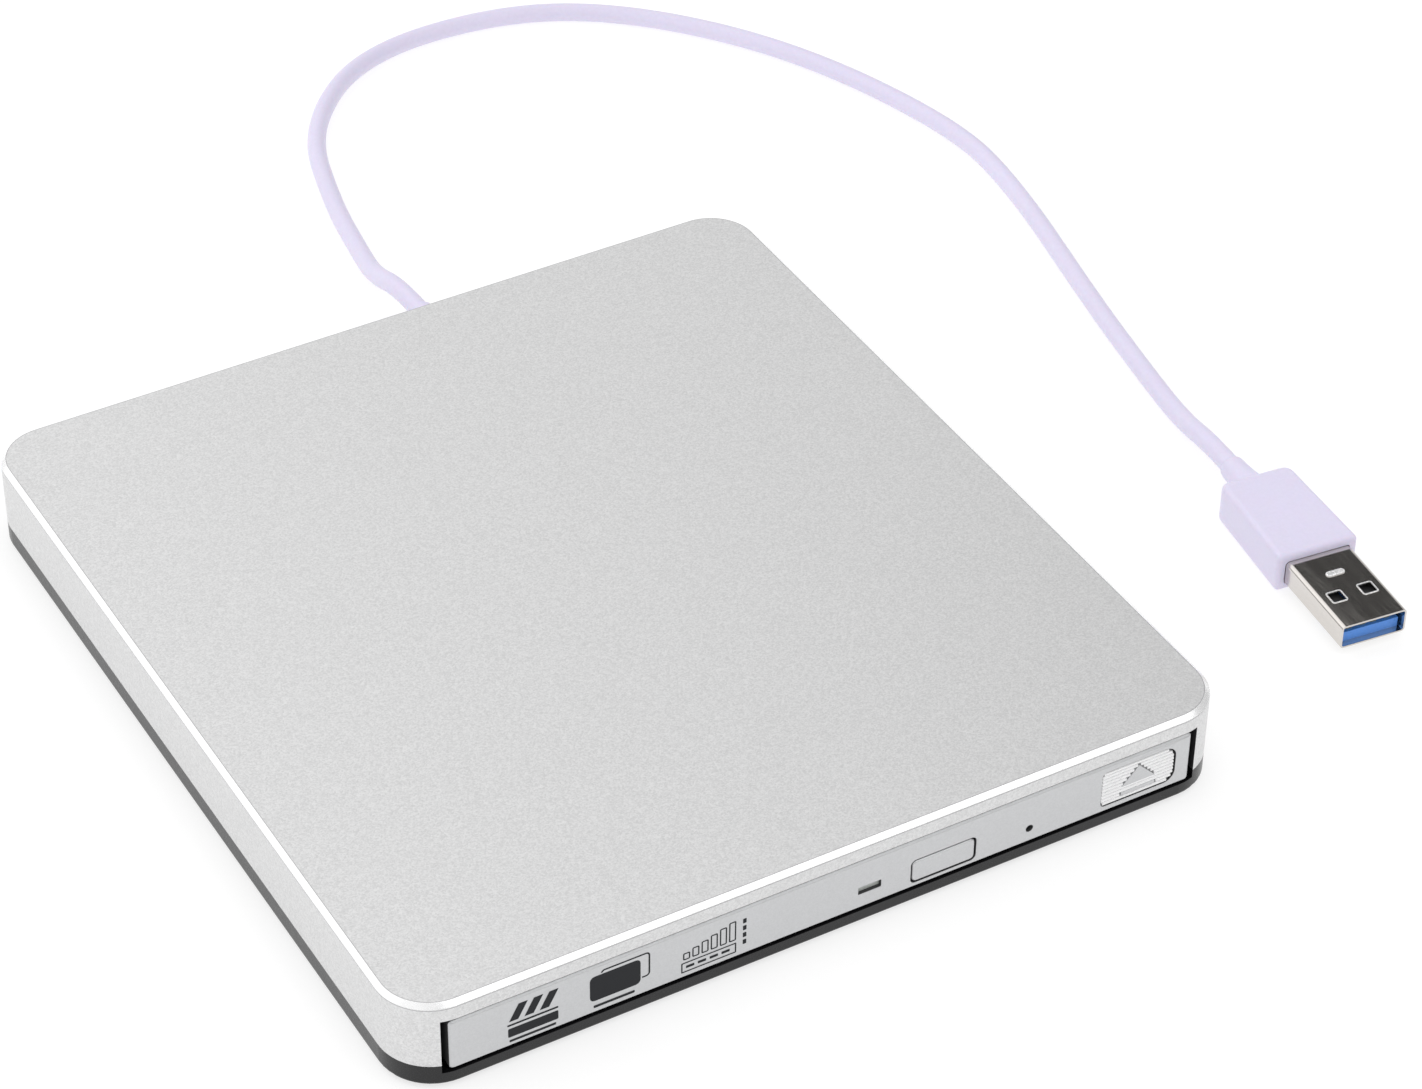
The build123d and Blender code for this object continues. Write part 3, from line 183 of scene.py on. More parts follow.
def sparkle_paint(name, color, rough, metal, flake=0.00028, dark=0.93, bright=1.06, relief=0.000012):
    """Bead-blasted silver: small bright and dull grains, with slow changes of tone between them."""
    mat, tree, shader = material(name, color, rough, metal)
    vector = coords(tree)
    cells = tree.nodes.new("ShaderNodeTexVoronoi")
    cells.inputs["Scale"].default_value = 1 / flake
    tree.links.new(vector, cells.inputs["Vector"])
    separate = tree.nodes.new("ShaderNodeSeparateColor")
    tree.links.new(cells.outputs["Color"], separate.inputs["Color"])
    soft = noise(tree, vector, flake * 2.6, 2.0, 0.6)
    flakes = math_node(tree, "MULTIPLY", separate.outputs["Red"], 0.45)
    clouds = math_node(tree, "MULTIPLY", soft, 0.55)
    grain = math_node(tree, "ADD", flakes, clouds)
    shade = spread(tree, grain, 0.25, 0.75, 0.0, 1.0)
    grained = mix_color(tree, shade, tinted(color, dark), tinted(color, bright))
    tree.links.new(grained, shader.inputs["Base Color"])
    gloss = spread(tree, separate.outputs["Green"], 0.0, 1.0, rough - 0.05, rough + 0.07)
    tree.links.new(gloss, shader.inputs["Roughness"])
    bump(tree, shader, grain, 0.7, relief)
    return mat


def brushed(name, color, rough, direction, metal=1.0, tint=0.05):
    """Metal with fine scratches along one axis, 0 for X, 1 for Y and 2 for Z."""
    stretch = [1, 1, 1]
    stretch[direction] = 0.02
    return plain(name, color, rough, metal, grain=0.00009, tint=tint, rough_by=0.06, relief=0.000002,
                 stretch=tuple(stretch))


def fibre_board(name, color):
    """Solder mask over traces: lighter lanes in a regular run."""
    mat, tree, shader = material(name, color, 0.35)
    vector = coords(tree)
    lanes = tree.nodes.new("ShaderNodeTexBrick")
    lanes.inputs["Scale"].default_value = 260
    lanes.inputs["Mortar Size"].default_value = 0.03
    lanes.inputs["Color1"].default_value = (*tinted(color, 1.5), 1)
    lanes.inputs["Color2"].default_value = (*tinted(color, 0.9), 1)
    lanes.inputs["Mortar"].default_value = (*tinted(color, 0.7), 1)
    tree.links.new(vector, lanes.inputs["Vector"])
    tree.links.new(lanes.outputs["Color"], shader.inputs["Base Color"])
    bump(tree, shader, lanes.outputs["Fac"], 0.4, 0.00002)
    return mat


SILVER = (0.72, 0.72, 0.722)
CORD_WHITE = (0.74, 0.70, 0.875)
# the record's material slots, and the finishes that only this script uses
look = {
    "satin_silver": sparkle_paint("cover_satin", SILVER, 0.40, 0.78, flake=0.00022, dark=0.88, bright=1.08),
    # the chamfer's near-white: a polished cut edge, its brightness partly a painted highlight; the plug's
    # boss and window rims use it as painted highlight
    "cut_edge_highlight": sparkle_paint(
        "cut_edge_painted_highlight", (0.96, 0.96, 0.965), 0.24, 0.55, dark=0.985, bright=1.015, relief=0.000003
    ),
    # grey lines along the chamfer's borders: painted shade, a darker reflection given as colour
    "edge_shade_line": plain("cover_edge_painted_shade", (0.46, 0.46, 0.465), 0.4, 0.6),
    # near-black for the cover's inside and the plug's window leaves: painted shade in gaps and hollows
    "gap_shade_black": plain("gap_shade_black", (0.03, 0.03, 0.032), 0.6),
    "dark_plastic": plain("base_plastic", (0.006, 0.006, 0.007), 0.28, grain=0.0005, tint=0.1,
                          relief=0.000008, IOR=1.45),
    "foot_rubber": plain("foot_rubber", (0.03, 0.03, 0.03), 0.8, grain=0.0006, tint=0.15, relief=0.00003),
    "screw_steel": brushed("screw_steel", (0.55, 0.55, 0.56), 0.32, 0),
    "zinc_steel": brushed("zinc_sheet", (0.62, 0.63, 0.65), 0.34, 1),
    "white_acetal": plain("acetal", (0.80, 0.80, 0.77), 0.38),
    "spring_steel": brushed("spring_steel", (0.5, 0.5, 0.5), 0.3, 2),
    "circuit_board": fibre_board("circuit_board", (0.02, 0.17, 0.07)),
    "black_plastic": plain("black_moulding", (0.025, 0.025, 0.027), 0.42),
    "chip_black": plain("chip_epoxy", (0.03, 0.03, 0.033), 0.55),
    "chip_metal": brushed("tinned_parts", (0.68, 0.66, 0.60), 0.35, 0),
    "cord_white": plain("cord_sheath", CORD_WHITE, 0.42, grain=0.0007, tint=0.025, rough_by=0.04,
                        relief=0.000006, Subsurface_Weight=0.12, Subsurface_Scale=0.002),
    "plug_white": plain("plug_moulding", CORD_WHITE, 0.40, grain=0.0006, tint=0.02, rough_by=0.04,
                        relief=0.000006, Subsurface_Weight=0.12, Subsurface_Scale=0.002),
    "plug_nickel": brushed("plug_nickel", (0.66, 0.63, 0.60), 0.13, 1, tint=0.04),
    "tongue_blue": plain("plug_tongue", (0.08, 0.28, 0.80), 0.3),
    "contact_gold": brushed("gold_flash", (0.90, 0.66, 0.28), 0.25, 1),
    "tray_black": plain("tray_plastic", (0.028, 0.028, 0.031), 0.5, grain=0.0005, tint=0.1, rough_by=0.06,
                        relief=0.00002),
    "bezel_silver": sparkle_paint("bezel_satin", (0.60, 0.605, 0.615), 0.36, 0.62, flake=0.00022, dark=0.96,
                                  bright=1.03, relief=0.000006),
    "led_lens": plain("led_lens", (0.55, 0.58, 0.55), 0.25),
    "polished_steel": brushed("ground_steel", (0.75, 0.75, 0.76), 0.14, 1),
    "damper_rubber": plain("damper_rubber", (0.05, 0.05, 0.055), 0.75),
    "cover_metal": brushed("brushed_cover", (0.66, 0.66, 0.68), 0.28, 0),
    "copper_winding": brushed("winding", (0.55, 0.22, 0.09), 0.35, 2),
    "grip_rubber": plain("grip_rubber", (0.035, 0.035, 0.04), 0.85, tint=0.15, relief=0.00003),
    "sled_zinc": plain("sled_casting", (0.42, 0.43, 0.45), 0.45, 0.9),
    "lens_glass": plain("lens_glass", (0.22, 0.26, 0.55), 0.06, Coat_Weight=1.0),
    "print_ink": plain("print_ink", (0.022, 0.023, 0.026), 0.7, Specular_IOR_Level=0.2),
    # near-black for the bezel's faces behind its painted front: painted shade, given as bare moulding
    "bezel_back_shade": plain("bezel_back_shade", (0.05, 0.05, 0.052), 0.6),
    # the pad's darker floor and near-white ribs: shaded and lit copies of the bezel's silver, painted shade
    # and painted highlight
    "pad_floor_painted_shade": plain("pad_floor_painted_shade", (0.30, 0.30, 0.305), 0.5, 0.3),
    "pad_rib_painted_highlight": sparkle_paint("pad_rib_painted_highlight", (0.92, 0.92, 0.925), 0.34, 0.35, flake=0.0002, dark=0.97, bright=1.03,
                             relief=0.000004),
}

# ------------------------------------------------------------------ modelling


def build(name, verts, faces):
    mesh = bpy.data.meshes.new(name)
    mesh.from_pydata([tuple(v) for v in verts], [], faces)
    mesh.validate()
    obj = bpy.data.objects.new(name, mesh)
    scene.collection.objects.link(obj)
    return obj


def rounded(width, height, radius, steps=10, at=(0, 0)):
    """The outline of a rounded rectangle, anticlockwise."""
    points = []
    for quarter, (sx, sy) in enumerate(((1, 1), (-1, 1), (-1, -1), (1, -1))):
        for step in range(steps + 1):
            angle = math.radians(90 * quarter + 90 * step / steps)
            points.append((
                at[0] + sx * (width / 2 - radius) + radius * math.cos(angle),
                at[1] + sy * (height / 2 - radius) + radius * math.sin(angle),
            ))
    return points


def circle(radius, steps=32, at=(0, 0)):
    angles = [2 * math.pi * i / steps for i in range(steps)]
    return [(at[0] + radius * math.cos(angle), at[1] + radius * math.sin(angle)) for angle in angles]


def loft(name, rings, closed=False):
    """Skins rings of equal length. It caps the ends, or joins the last ring to the first."""
    count = len(rings[0])
    verts = [point for ring in rings for point in ring]
    faces = []
    for k in range(len(rings) if closed else len(rings) - 1):
        base, over = k * count, (k + 1) % len(rings) * count
        for i in range(count):
            j = (i + 1) % count
            faces.append((base + i, base + j, over + j, over + i))
    if not closed:
        faces.append(tuple(reversed(range(count))))
        faces.append(tuple(range((len(rings) - 1) * count, len(rings) * count)))
    obj = build(name, verts, faces)
    fix_normals(obj)
    return obj


def fix_normals(obj):
    """Merges the vertices that meet and turns every face outwards."""
    bm = bmesh.new()
    bm.from_mesh(obj.data)
    bmesh.ops.remove_doubles(bm, verts=bm.verts, dist=1e-5)
    bmesh.ops.recalc_face_normals(bm, faces=bm.faces)
    bm.to_mesh(obj.data)
    bm.free()


def flat(points, z):
    return [(x, y, z) for x, y in points]


def facing(points, y):
    """Points of a drawing that faces the front, at depth y."""
    return [(x, y, z) for x, z in points]


def prism(name, points, span, to_space=flat):
    return loft(name, [to_space(points, span[0]), to_space(points, span[1])])


def box(name, x, y, z):
    return prism(name, [(x[0], y[0]), (x[1], y[0]), (x[1], y[1]), (x[0], y[1])], z)


def bake(obj):
    """Applies the modifiers."""
    graph = bpy.context.evaluated_depsgraph_get()
    mesh = bpy.data.meshes.new_from_object(obj.evaluated_get(graph))
    obj.modifiers.clear()
    old = obj.data
    obj.data = mesh
    bpy.data.meshes.remove(old)


def combine(obj, tools, operation):
    for tool in tools:
        mod = obj.modifiers.new("combine", "BOOLEAN")
        mod.operation = operation
        mod.solver = "EXACT"
        mod.object = tool
    bake(obj)
    for tool in tools:
        mesh = tool.data
        bpy.data.objects.remove(tool)
        bpy.data.meshes.remove(mesh)
    return obj


def cut(obj, *tools):
    return combine(obj, tools, "DIFFERENCE")


def join(obj, *tools):
    return combine(obj, tools, "UNION")


def soften(obj, width, steps=2, angle=30):
    """Rounds the edges that turn by more than the angle."""
    mod = obj.modifiers.new("soften", "BEVEL")
    mod.limit_method = "ANGLE"
    mod.angle_limit = math.radians(angle)
    mod.width = width
    mod.segments = steps
    mod.use_clamp_overlap = False
    bake(obj)
    return obj


def finish_piece(obj, body, slot, mats=None, replaces=(), frame_matrix=None, sharp=40, weigh=True):
    """Shades the piece smooth away from its sharp edges, scales it to metres, and parents it to its body,
    hiding the CAD parts that it replaces.
    """
    if frame_matrix is not None:
        obj.data.transform(frame_matrix)
    mesh = obj.data
    mesh.transform(Matrix.Scale(MM, 4))
    mesh.shade_smooth()
    mesh.set_sharp_from_angle(angle=math.radians(sharp))
    for poly in mesh.polygons:
        if len(poly.vertices) > 6 and poly.area > BIG_FACE:
            poly.use_smooth = False
    if weigh:
        mod = obj.modifiers.new("weigh", "WEIGHTED_NORMAL")
        mod.keep_sharp = True
    if mats is None:
        mats = [look[slot]]
    while len(mesh.materials) > 0:
        mesh.materials.pop()
    for mat in mats:
        mesh.materials.append(mat)
    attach(obj, body)
    if replaces:
        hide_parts(*replaces)
    return obj


# ------------------------------------------------------------------ cord
CORD_D = 0.0035
route = [
    (0.0140, 0.0860, 0.0076), (0.0140, 0.0945, 0.0076), (0.0143, 0.1055, 0.0034),
    (0.0162, 0.1153, 0.00175), (0.0186, 0.1313, 0.00175), (0.0256, 0.1563, 0.00175),
    (0.0457, 0.1752, 0.00175), (0.0771, 0.1754, 0.00175), (0.0994, 0.1627, 0.00175),
    (0.1201, 0.1351, 0.00175), (0.1324, 0.0973, 0.00175), (0.1311, 0.0740, 0.00175),
    (0.1232, 0.0368, 0.00175), (0.1196, 0.0163, 0.00175), (0.1173, 0.0013, 0.00175),
    (0.116129, -0.009426, 0.0037), (0.11545, -0.01589, 0.0037),
]
curve = bpy.data.curves.new("usb_cord_sheath", "CURVE")
curve.dimensions = "3D"
spline = curve.splines.new("NURBS")
spline.points.add(len(route) - 1)
for point, place in zip(spline.points, route):
    point.co = (*place, 1)
spline.order_u = 3
spline.use_endpoint_u = True
curve.resolution_u = 16
curve.bevel_depth = CORD_D / 2
curve.bevel_resolution = 6
curve.use_fill_caps = True
cord = bpy.data.objects.new("usb_cord_sheath", curve)
scene.collection.objects.link(cord)
curve.materials.append(look["cord_white"])
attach(cord, "root")
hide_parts("usb_cord")

# ------------------------------------------------------------------ top cover
COVER_LOW, COVER_HIGH = low("top_cover"), high("top_cover")
CASE_W = COVER_HIGH.x - COVER_LOW.x
CASE_D = COVER_HIGH.y - COVER_LOW.y
Z_BAND, Z_TOP = COVER_LOW.z, COVER_HIGH.z
Y_FRONT = COVER_LOW.y
CORNER = 8.8
WALL = 1.2
CORNER_STEPS = 24
SLOT_HALF = 65.15
SLOT_GAP = 0.35     # between the bezel's top and the slot's
Z_SLOT = high("tray_bezel").z + SLOT_GAP
GLAND_X, GLAND_R = 14.0, 3.2

# each ring's inset, its drop below the top, and the material from it up to the next ring; the grey line bands
# are painted shade, and the near-white cut edge is partly a painted highlight
PAINT, CUT_EDGE_HIGHLIGHT, SHADE_LINE, INSIDE = 0, 1, 2, 3
COVER_RINGS = [
    (0.0, Z_TOP - Z_BAND, PAINT), (0.0, 0.98, SHADE_LINE), (0.0, 0.80, CUT_EDGE_HIGHLIGHT), (0.05, 0.70, CUT_EDGE_HIGHLIGHT),
    (0.76, 0.07, CUT_EDGE_HIGHLIGHT), (0.84, 0.015, SHADE_LINE), (0.98, 0.0, PAINT),
]


def case_outline(inset):
    return rounded(CASE_W - 2 * inset, CASE_D - 2 * inset, CORNER - inset, CORNER_STEPS)


cover = loft("cover_shell", [flat(case_outline(inset), Z_TOP - drop) for inset, drop, _ in COVER_RINGS])
cover_mats = [look["satin_silver"], look["cut_edge_highlight"], look["edge_shade_line"], look["gap_shade_black"]]
for mat in cover_mats:
    cover.data.materials.append(mat)
for poly in cover.data.polygons:
    if len(poly.vertices) == 4:
        drop = Z_TOP - poly.center.z
        bands = [band for _, start, band in COVER_RINGS if start > drop]
        poly.material_index = bands[-1]
hollow = prism("t", case_outline(WALL), (Z_BAND - 1, Z_TOP - WALL))
mouth = box("t", (-SLOT_HALF, SLOT_HALF), (Y_FRONT - 2, Y_FRONT + WALL + 1), (Z_BAND - 2, Z_SLOT))
gland_ring = circle(GLAND_R, 32, (GLAND_X, Z_BAND + GLAND_R))
gland_hole = prism("t", gland_ring, (COVER_HIGH.y - WALL - 1, COVER_HIGH.y + 1), facing)
# the inside faces take the near-black: painted shade in the gaps round the bezel and the gland
for tool in (hollow, mouth, gland_hole):
    for mat in cover_mats:
        tool.data.materials.append(mat)
    for poly in tool.data.polygons:
        poly.material_index = INSIDE
cut(cover, hollow, mouth, gland_hole)
kept = [poly.material_index for poly in cover.data.polygons]
finish_piece(cover, "root", "satin_silver", cover_mats, ["top_cover"], sharp=25)
for poly, index in zip(cover.data.polygons, kept):
    poly.material_index = index

# ------------------------------------------------------------------ bezel
BEZEL_LOW, BEZEL_HIGH = low("tray_bezel"), high("tray_bezel")
BEZEL_L, BEZEL_R = BEZEL_LOW.x, BEZEL_HIGH.x
Z_BEZEL, Z_BEZEL_TOP = BEZEL_LOW.z, BEZEL_HIGH.z
PRINT = 0.02
FACE_Y = BEZEL_LOW.y + PRINT
BACK_Y = BEZEL_HIGH.y
BEZEL_FACE = 1.6
BEZEL_RIM = 1.0
EDGE_CUT = 0.35     # the slope round the painted face
TOP_LINE = 0.08     # how far the painted face stops below the moulding's top
bezel_mid = ((BEZEL_L + BEZEL_R) / 2, (Z_BEZEL + Z_BEZEL_TOP - TOP_LINE) / 2)
BEZEL_W, BEZEL_H = BEZEL_R - BEZEL_L, Z_BEZEL_TOP - TOP_LINE - Z_BEZEL


def on_bezel(x, z):
    """A place on the bezel, from its left end and its underside."""
    return (BEZEL_L + x, Z_BEZEL + z)


bezel_edge = rounded(BEZEL_W, BEZEL_H, 0.6, 4, bezel_mid)
bezel_front = rounded(BEZEL_W - 2 * EDGE_CUT, BEZEL_H - 2 * EDGE_CUT, 0.4, 4, bezel_mid)
bezel = loft("bezel_face", [
    facing(bezel_edge, BACK_Y), facing(bezel_edge, FACE_Y + EDGE_CUT), facing(bezel_front, FACE_Y),
])
KEY = dict(at=on_bezel(83.3, 3.2), w=11.6, h=4.6, r=0.9)
PAD = dict(at=on_bezel(118.5, 4.6), w=13.6, h=6.9, r=2.0, left_r=0.8)
LED = dict(at=on_bezel(70.3, 3.6), w=4.0, h=1.4, r=0.15)
PIN = dict(at=on_bezel(98.7, 2.75), r=0.65)
through = (FACE_Y - 1, FACE_Y + BEZEL_FACE + 1)
PAD_GAP = 0.06      # above, below and at the left of the pad
PAD_END_GAP = 0.26  # at its rounded right end


def pad_outline(around, at_end):
    """The pad's outline, tight at the left and round at the right, smaller than its opening by the gaps."""
    x, z = PAD["at"]
    left, end = x - PAD["w"] / 2 + around, x + PAD["w"] / 2 - at_end
    bottom, top = z - PAD["h"] / 2 + around, z + PAD["h"] / 2 - around
    points = []
    for turn, cx, cz, radius in (
        (0, end, top, PAD["r"]), (1, left, top, PAD["left_r"]),
        (2, left, bottom, PAD["left_r"]), (3, end, bottom, PAD["r"]),
    ):
        sx, sz = (1, -1, -1, 1)[turn], (1, 1, -1, -1)[turn]
        for step in range(9):
            angle = math.radians(90 * turn + 90 * step / 8)
            points.append((
                cx - sx * radius + radius * math.cos(angle), cz - sz * radius + radius * math.sin(angle)
            ))
    return points


tools = [prism("t", rounded(k["w"], k["h"], k["r"], 6, k["at"]), through, facing) for k in (KEY, LED)]
tools.append(prism("t", pad_outline(0, 0), through, facing))
tools.append(prism("t", circle(PIN["r"], 32, PIN["at"]), through, facing))
tools.append(box(
    "t", (BEZEL_L + BEZEL_RIM, BEZEL_R - BEZEL_RIM), (FACE_Y + BEZEL_FACE, BACK_Y + 1),
    (Z_BEZEL + BEZEL_RIM, Z_BEZEL_TOP - BEZEL_RIM),
))
cut(bezel, *tools)
soften(bezel, 0.08, 2, 28)
finish_piece(bezel, "tray", "bezel_silver", [look["bezel_silver"], look["bezel_back_shade"]], ["tray_bezel"])
# faces behind the front slope are near-black: painted shade along the slot's gap and in the openings for the
# keys, the lamp and the pinhole
for poly in bezel.data.polygons:
    if poly.center.y > (FACE_Y + EDGE_CUT + 0.02) * MM:
        poly.material_index = 1

# printed marks on the bezel: plain pictures of the drive's own making, each drawn from the bezel's
# left end and its underside as (left, right), (bottom, top)
marks = []
ink_depth = (FACE_Y - PRINT * 0.9, FACE_Y + 0.1)
clear_depth = (FACE_Y - 1, FACE_Y + 1)


def mark(points):
    marks.append(prism(f"bezel_print_{len(marks)}", points, ink_depth, facing))


def middle(x, z):
    return on_bezel((x[0] + x[1]) / 2, (z[0] + z[1]) / 2)


def mark_box(x, z, radius=0.1):
    mark(rounded(x[1] - x[0], z[1] - z[0], radius, 3, middle(x, z)))


def clear_box(x, z, radius):
    """Takes a rounded box out of the last mark."""
    outline = rounded(x[1] - x[0], z[1] - z[0], radius, 5, middle(x, z))
    cut(marks[-1], prism("t", outline, clear_depth, facing))


def mark_frame(x, z, radius, line):
    """An outline with rounded corners."""
    mark(rounded(x[1] - x[0], z[1] - z[0], radius, 5, middle(x, z)))
    clear_box((x[0] + line, x[1] - line), (z[0] + line, z[1] - line), max(radius - line, 0.05))


def slanted(x, z, lean):
    """A bar that leans to the right by lean."""
    (x0, x1), (z0, z1) = x, z
    mark([on_bezel(x0, z0), on_bezel(x1, z0), on_bezel(x1 + lean, z1), on_bezel(x0 + lean, z1)])


# three leaning bars over three flat ones
STROKE_PITCH, STROKE_LEAN = 2.5, 1.6
for i in range(3):
    slanted((9.6 + STROKE_PITCH * i, 11.1 + STROKE_PITCH * i), (5.0, 8.0), STROKE_LEAN)
mark_box((9.3, 17.6), (4.1, 4.45))
mark_box((9.4, 17.6), (1.9, 3.6), 0.2)
mark_box((9.6, 17.2), (0.9, 1.35))

# a card in front of an outlined one, over a bar
mark_frame((24.6, 32.8), (3.4, 8.2), 0.7, 0.28)
clear_box((22.55, 31.45), (2.25, 7.65), 1.0)
mark_box((22.8, 31.2), (2.5, 7.4), 0.8)
mark_box((23.4, 30.2), (1.1, 1.6))

# rising outlined bars over a strip of dashes, and a dotted line beside them
THIN_LINE = 0.22
STEP_PITCH, STEP_RISE = 1.55, 0.5
DASH_PITCH, DOT_PITCH = 2.0, 1.4
for i in range(6):
    mark_frame((38.3 + STEP_PITCH * i, 39.5 + STEP_PITCH * i), (3.6, 5.0 + STEP_RISE * i), 0.25, THIN_LINE)
mark_frame((38.0, 47.3), (1.1, 3.1), 0.15, THIN_LINE)
for i in range(4):
    mark_box((38.8 + DASH_PITCH * i, 40.2 + DASH_PITCH * i), (1.85, 2.35))
for i in range(4):
    mark_box((48.4, 49.0), (2.2 + DOT_PITCH * i, 3.1 + DOT_PITCH * i))
for piece in marks:
    finish_piece(piece, "tray", "bezel_silver", [look["print_ink"]], weigh=False)

# ------------------------------------------------------------------ keys
KEY_GAP = 0.3
KEY_BACK = FACE_Y + BEZEL_FACE + 0.1
FLANGE_T = 0.6
FLANGE_LOW = Z_BEZEL + 1.2
STEM_W, STEM_H = 2.4, 1.2
STEM_BACK = BACK_Y + 2.85   # where the switches' plungers are
STEM_Z = Z_BEZEL + 2.85


def key_body(name, key_x, outline, smaller, front, stem_x, flange_half, flange_top):
    """A key's face on its flange, with the stem that reaches the switch behind."""
    cap = loft(name, [facing(outline, KEY_BACK + 0.1), facing(outline, front + 0.2), facing(smaller, front)])
    flange_x = (key_x - flange_half, key_x + flange_half)
    flange = box("t", flange_x, (KEY_BACK, KEY_BACK + FLANGE_T), (FLANGE_LOW, flange_top))
    stem = box(
        "t", (stem_x - STEM_W / 2, stem_x + STEM_W / 2), (KEY_BACK + FLANGE_T / 2, STEM_BACK),
        (STEM_Z - STEM_H / 2, STEM_Z + STEM_H / 2),
    )
    join(cap, flange, stem)
    return soften(cap, 0.06, 2, 25)


key_w, key_h, key_r = KEY["w"] - 2 * KEY_GAP, KEY["h"] - 2 * KEY_GAP, KEY["r"] - KEY_GAP / 2
button = key_body(
    "eject_button_cap", KEY["at"][0], rounded(key_w, key_h, key_r, 6, KEY["at"]),
    rounded(key_w - 0.3, key_h - 0.3, key_r - 0.1, 6, KEY["at"]),
    front=FACE_Y - 0.01, stem_x=KEY["at"][0], flange_half=KEY["w"] / 2 + 1.2,
    flange_top=KEY["at"][1] + KEY["h"] / 2 + 0.8,
)
finish_piece(button, "eject_button", "bezel_silver", replaces=["eject_button"])

PAD_SLOPE = 0.12
PAD_SINK = 0.24     # how far the pad's floor lies behind the bezel's face
pad = key_body(
    "eject_pad_cap", PAD["at"][0], pad_outline(PAD_GAP, PAD_END_GAP),
    pad_outline(PAD_GAP + PAD_SLOPE, PAD_END_GAP + PAD_SLOPE),
    front=FACE_Y + PAD_SINK, stem_x=PAD["at"][0] - 6.0, flange_half=PAD["w"] / 2 + 0.6,
    flange_top=Z_BEZEL_TOP - BEZEL_RIM - 0.15,
)
# the pad's floor takes the darker grey: painted shade between the ribs
finish_piece(pad, "eject_pad", "bezel_silver", [look["pad_floor_painted_shade"]], ["eject_pad"])
RIBS = 10
RIB_RISE = 0.25
RIB_FOOT = FACE_Y + PAD_SINK + 0.03
rib_pitch = (PAD["h"] - 2 * PAD_GAP) / (RIBS + 0.2)
rib_half = rib_pitch * 0.43


def pad_end(dz, radius, gap):
    """How far the pad reaches from its middle at height dz, inside a corner of that radius."""
    half_w, half_h = PAD["w"] / 2 - gap, PAD["h"] / 2 - PAD_GAP
    over = abs(dz) - (half_h - radius)
    if over <= 0:
        return half_w
    return half_w - radius + math.sqrt(max(radius**2 - over**2, 0))


# the raised triangle and bar, from the pad's middle
TRI_LOW, TRI_HIGH, TRI_HALF = -0.85, 2.35, 3.1
BAR_LOW, BAR_HIGH = -2.55, -1.85
SIGN_GAP = 0.25     # between them and the ribs' ends
sign_depth = (FACE_Y + 0.02, FACE_Y + 0.4)
pad_x, pad_z = PAD["at"]


def arch(x0, x1, z, name):
    """A half-round rib from x0 to x1 at height z."""
    angles = [math.pi * k / 8 for k in range(9)]
    profile = [(rib_half * math.cos(angle), RIB_RISE * math.sin(angle)) for angle in angles]
    return loft(name, [[(x, RIB_FOOT - rise, z + across) for across, rise in profile] for x in (x0, x1)])


# the ribs take the near-white: painted highlight
for row in range(RIBS):
    dz = (row - (RIBS - 1) / 2) * rib_pitch
    start = -pad_end(abs(dz) + 0.15, PAD["left_r"], PAD_GAP) + 0.02
    reach = pad_end(abs(dz) + 0.15, PAD["r"], PAD_END_GAP) - 0.12
    spans = [(start, reach)]
    if TRI_LOW - 0.1 < dz < TRI_HIGH:
        gap = TRI_HALF * (TRI_HIGH - dz) / (TRI_HIGH - TRI_LOW) + SIGN_GAP
        spans = [(start, -gap), (gap, reach)]
    if BAR_LOW - 0.1 < dz < BAR_HIGH + 0.1:
        spans = [(start, -TRI_HALF - SIGN_GAP), (TRI_HALF + SIGN_GAP, reach)]
    for side, (x0, x1) in enumerate(spans):
        rib = arch(pad_x + x0, pad_x + x1, pad_z + dz, f"eject_pad_rib_{row}_{side}")
        finish_piece(rib, "eject_pad", "bezel_silver", [look["pad_rib_painted_highlight"]], weigh=False)
corners = [(-TRI_HALF, TRI_LOW), (TRI_HALF, TRI_LOW), (0, TRI_HIGH)]
bar_outline = rounded(
    2 * TRI_HALF, BAR_HIGH - BAR_LOW, 0.15, 3, (pad_x, pad_z + (BAR_LOW + BAR_HIGH) / 2)
)
for name, outline in (
    ("eject_pad_triangle", [(pad_x + x, pad_z + z) for x, z in corners]), ("eject_pad_bar", bar_outline),
):
    sign = prism(name, outline, sign_depth, facing)
    soften(sign, 0.08, 2)
    finish_piece(sign, "eject_pad", "bezel_silver")

# ------------------------------------------------------------------ plug
# It is modelled in its own frame, with X towards its nose and Z up.
NOSE = Vector((-0.104528, -0.994522, 0))
PLUG_AT = (115.45, -15.89, 0)
PLUG_Z = 3.7
plug_matrix = Matrix.Translation(PLUG_AT) @ Matrix(
    ((NOSE.x, -NOSE.y, 0), (NOSE.y, NOSE.x, 0), (0, 0, 1))
).to_4x4()
MOULD = (7.0, 28.5)
MOULD_H, MOULD_BACK_W, MOULD_FRONT_W = 7.4, 13.4, 15.0
MOULD_ROUND = 1.0
SHELL = (25.0, 46.5)
SHELL_W, SHELL_H, SHELL_T, SHELL_R = 12.0, 4.5, 0.35, 0.7
SHELL_TOP, SHELL_LOW = PLUG_Z + SHELL_H / 2, PLUG_Z - SHELL_H / 2
WINDOW = 2.4
WINDOW_X, WINDOW_Y = SHELL[1] - 7.2, 2.85
BOSS_X = SHELL[1] - 12.6
SIDES = ((-1, "left"), (1, "right"))


def across_plug(points, x):
    """Points of a section that faces along the plug, at distance x."""
    return [(x, y, z) for y, z in points]


def turned(name, profile, steps=32, height=PLUG_Z):
    """A solid of revolution about the plug's axis. The profile gives (distance, radius)."""
    return loft(name, [across_plug(circle(radius, steps, (0, height)), x) for x, radius in profile])


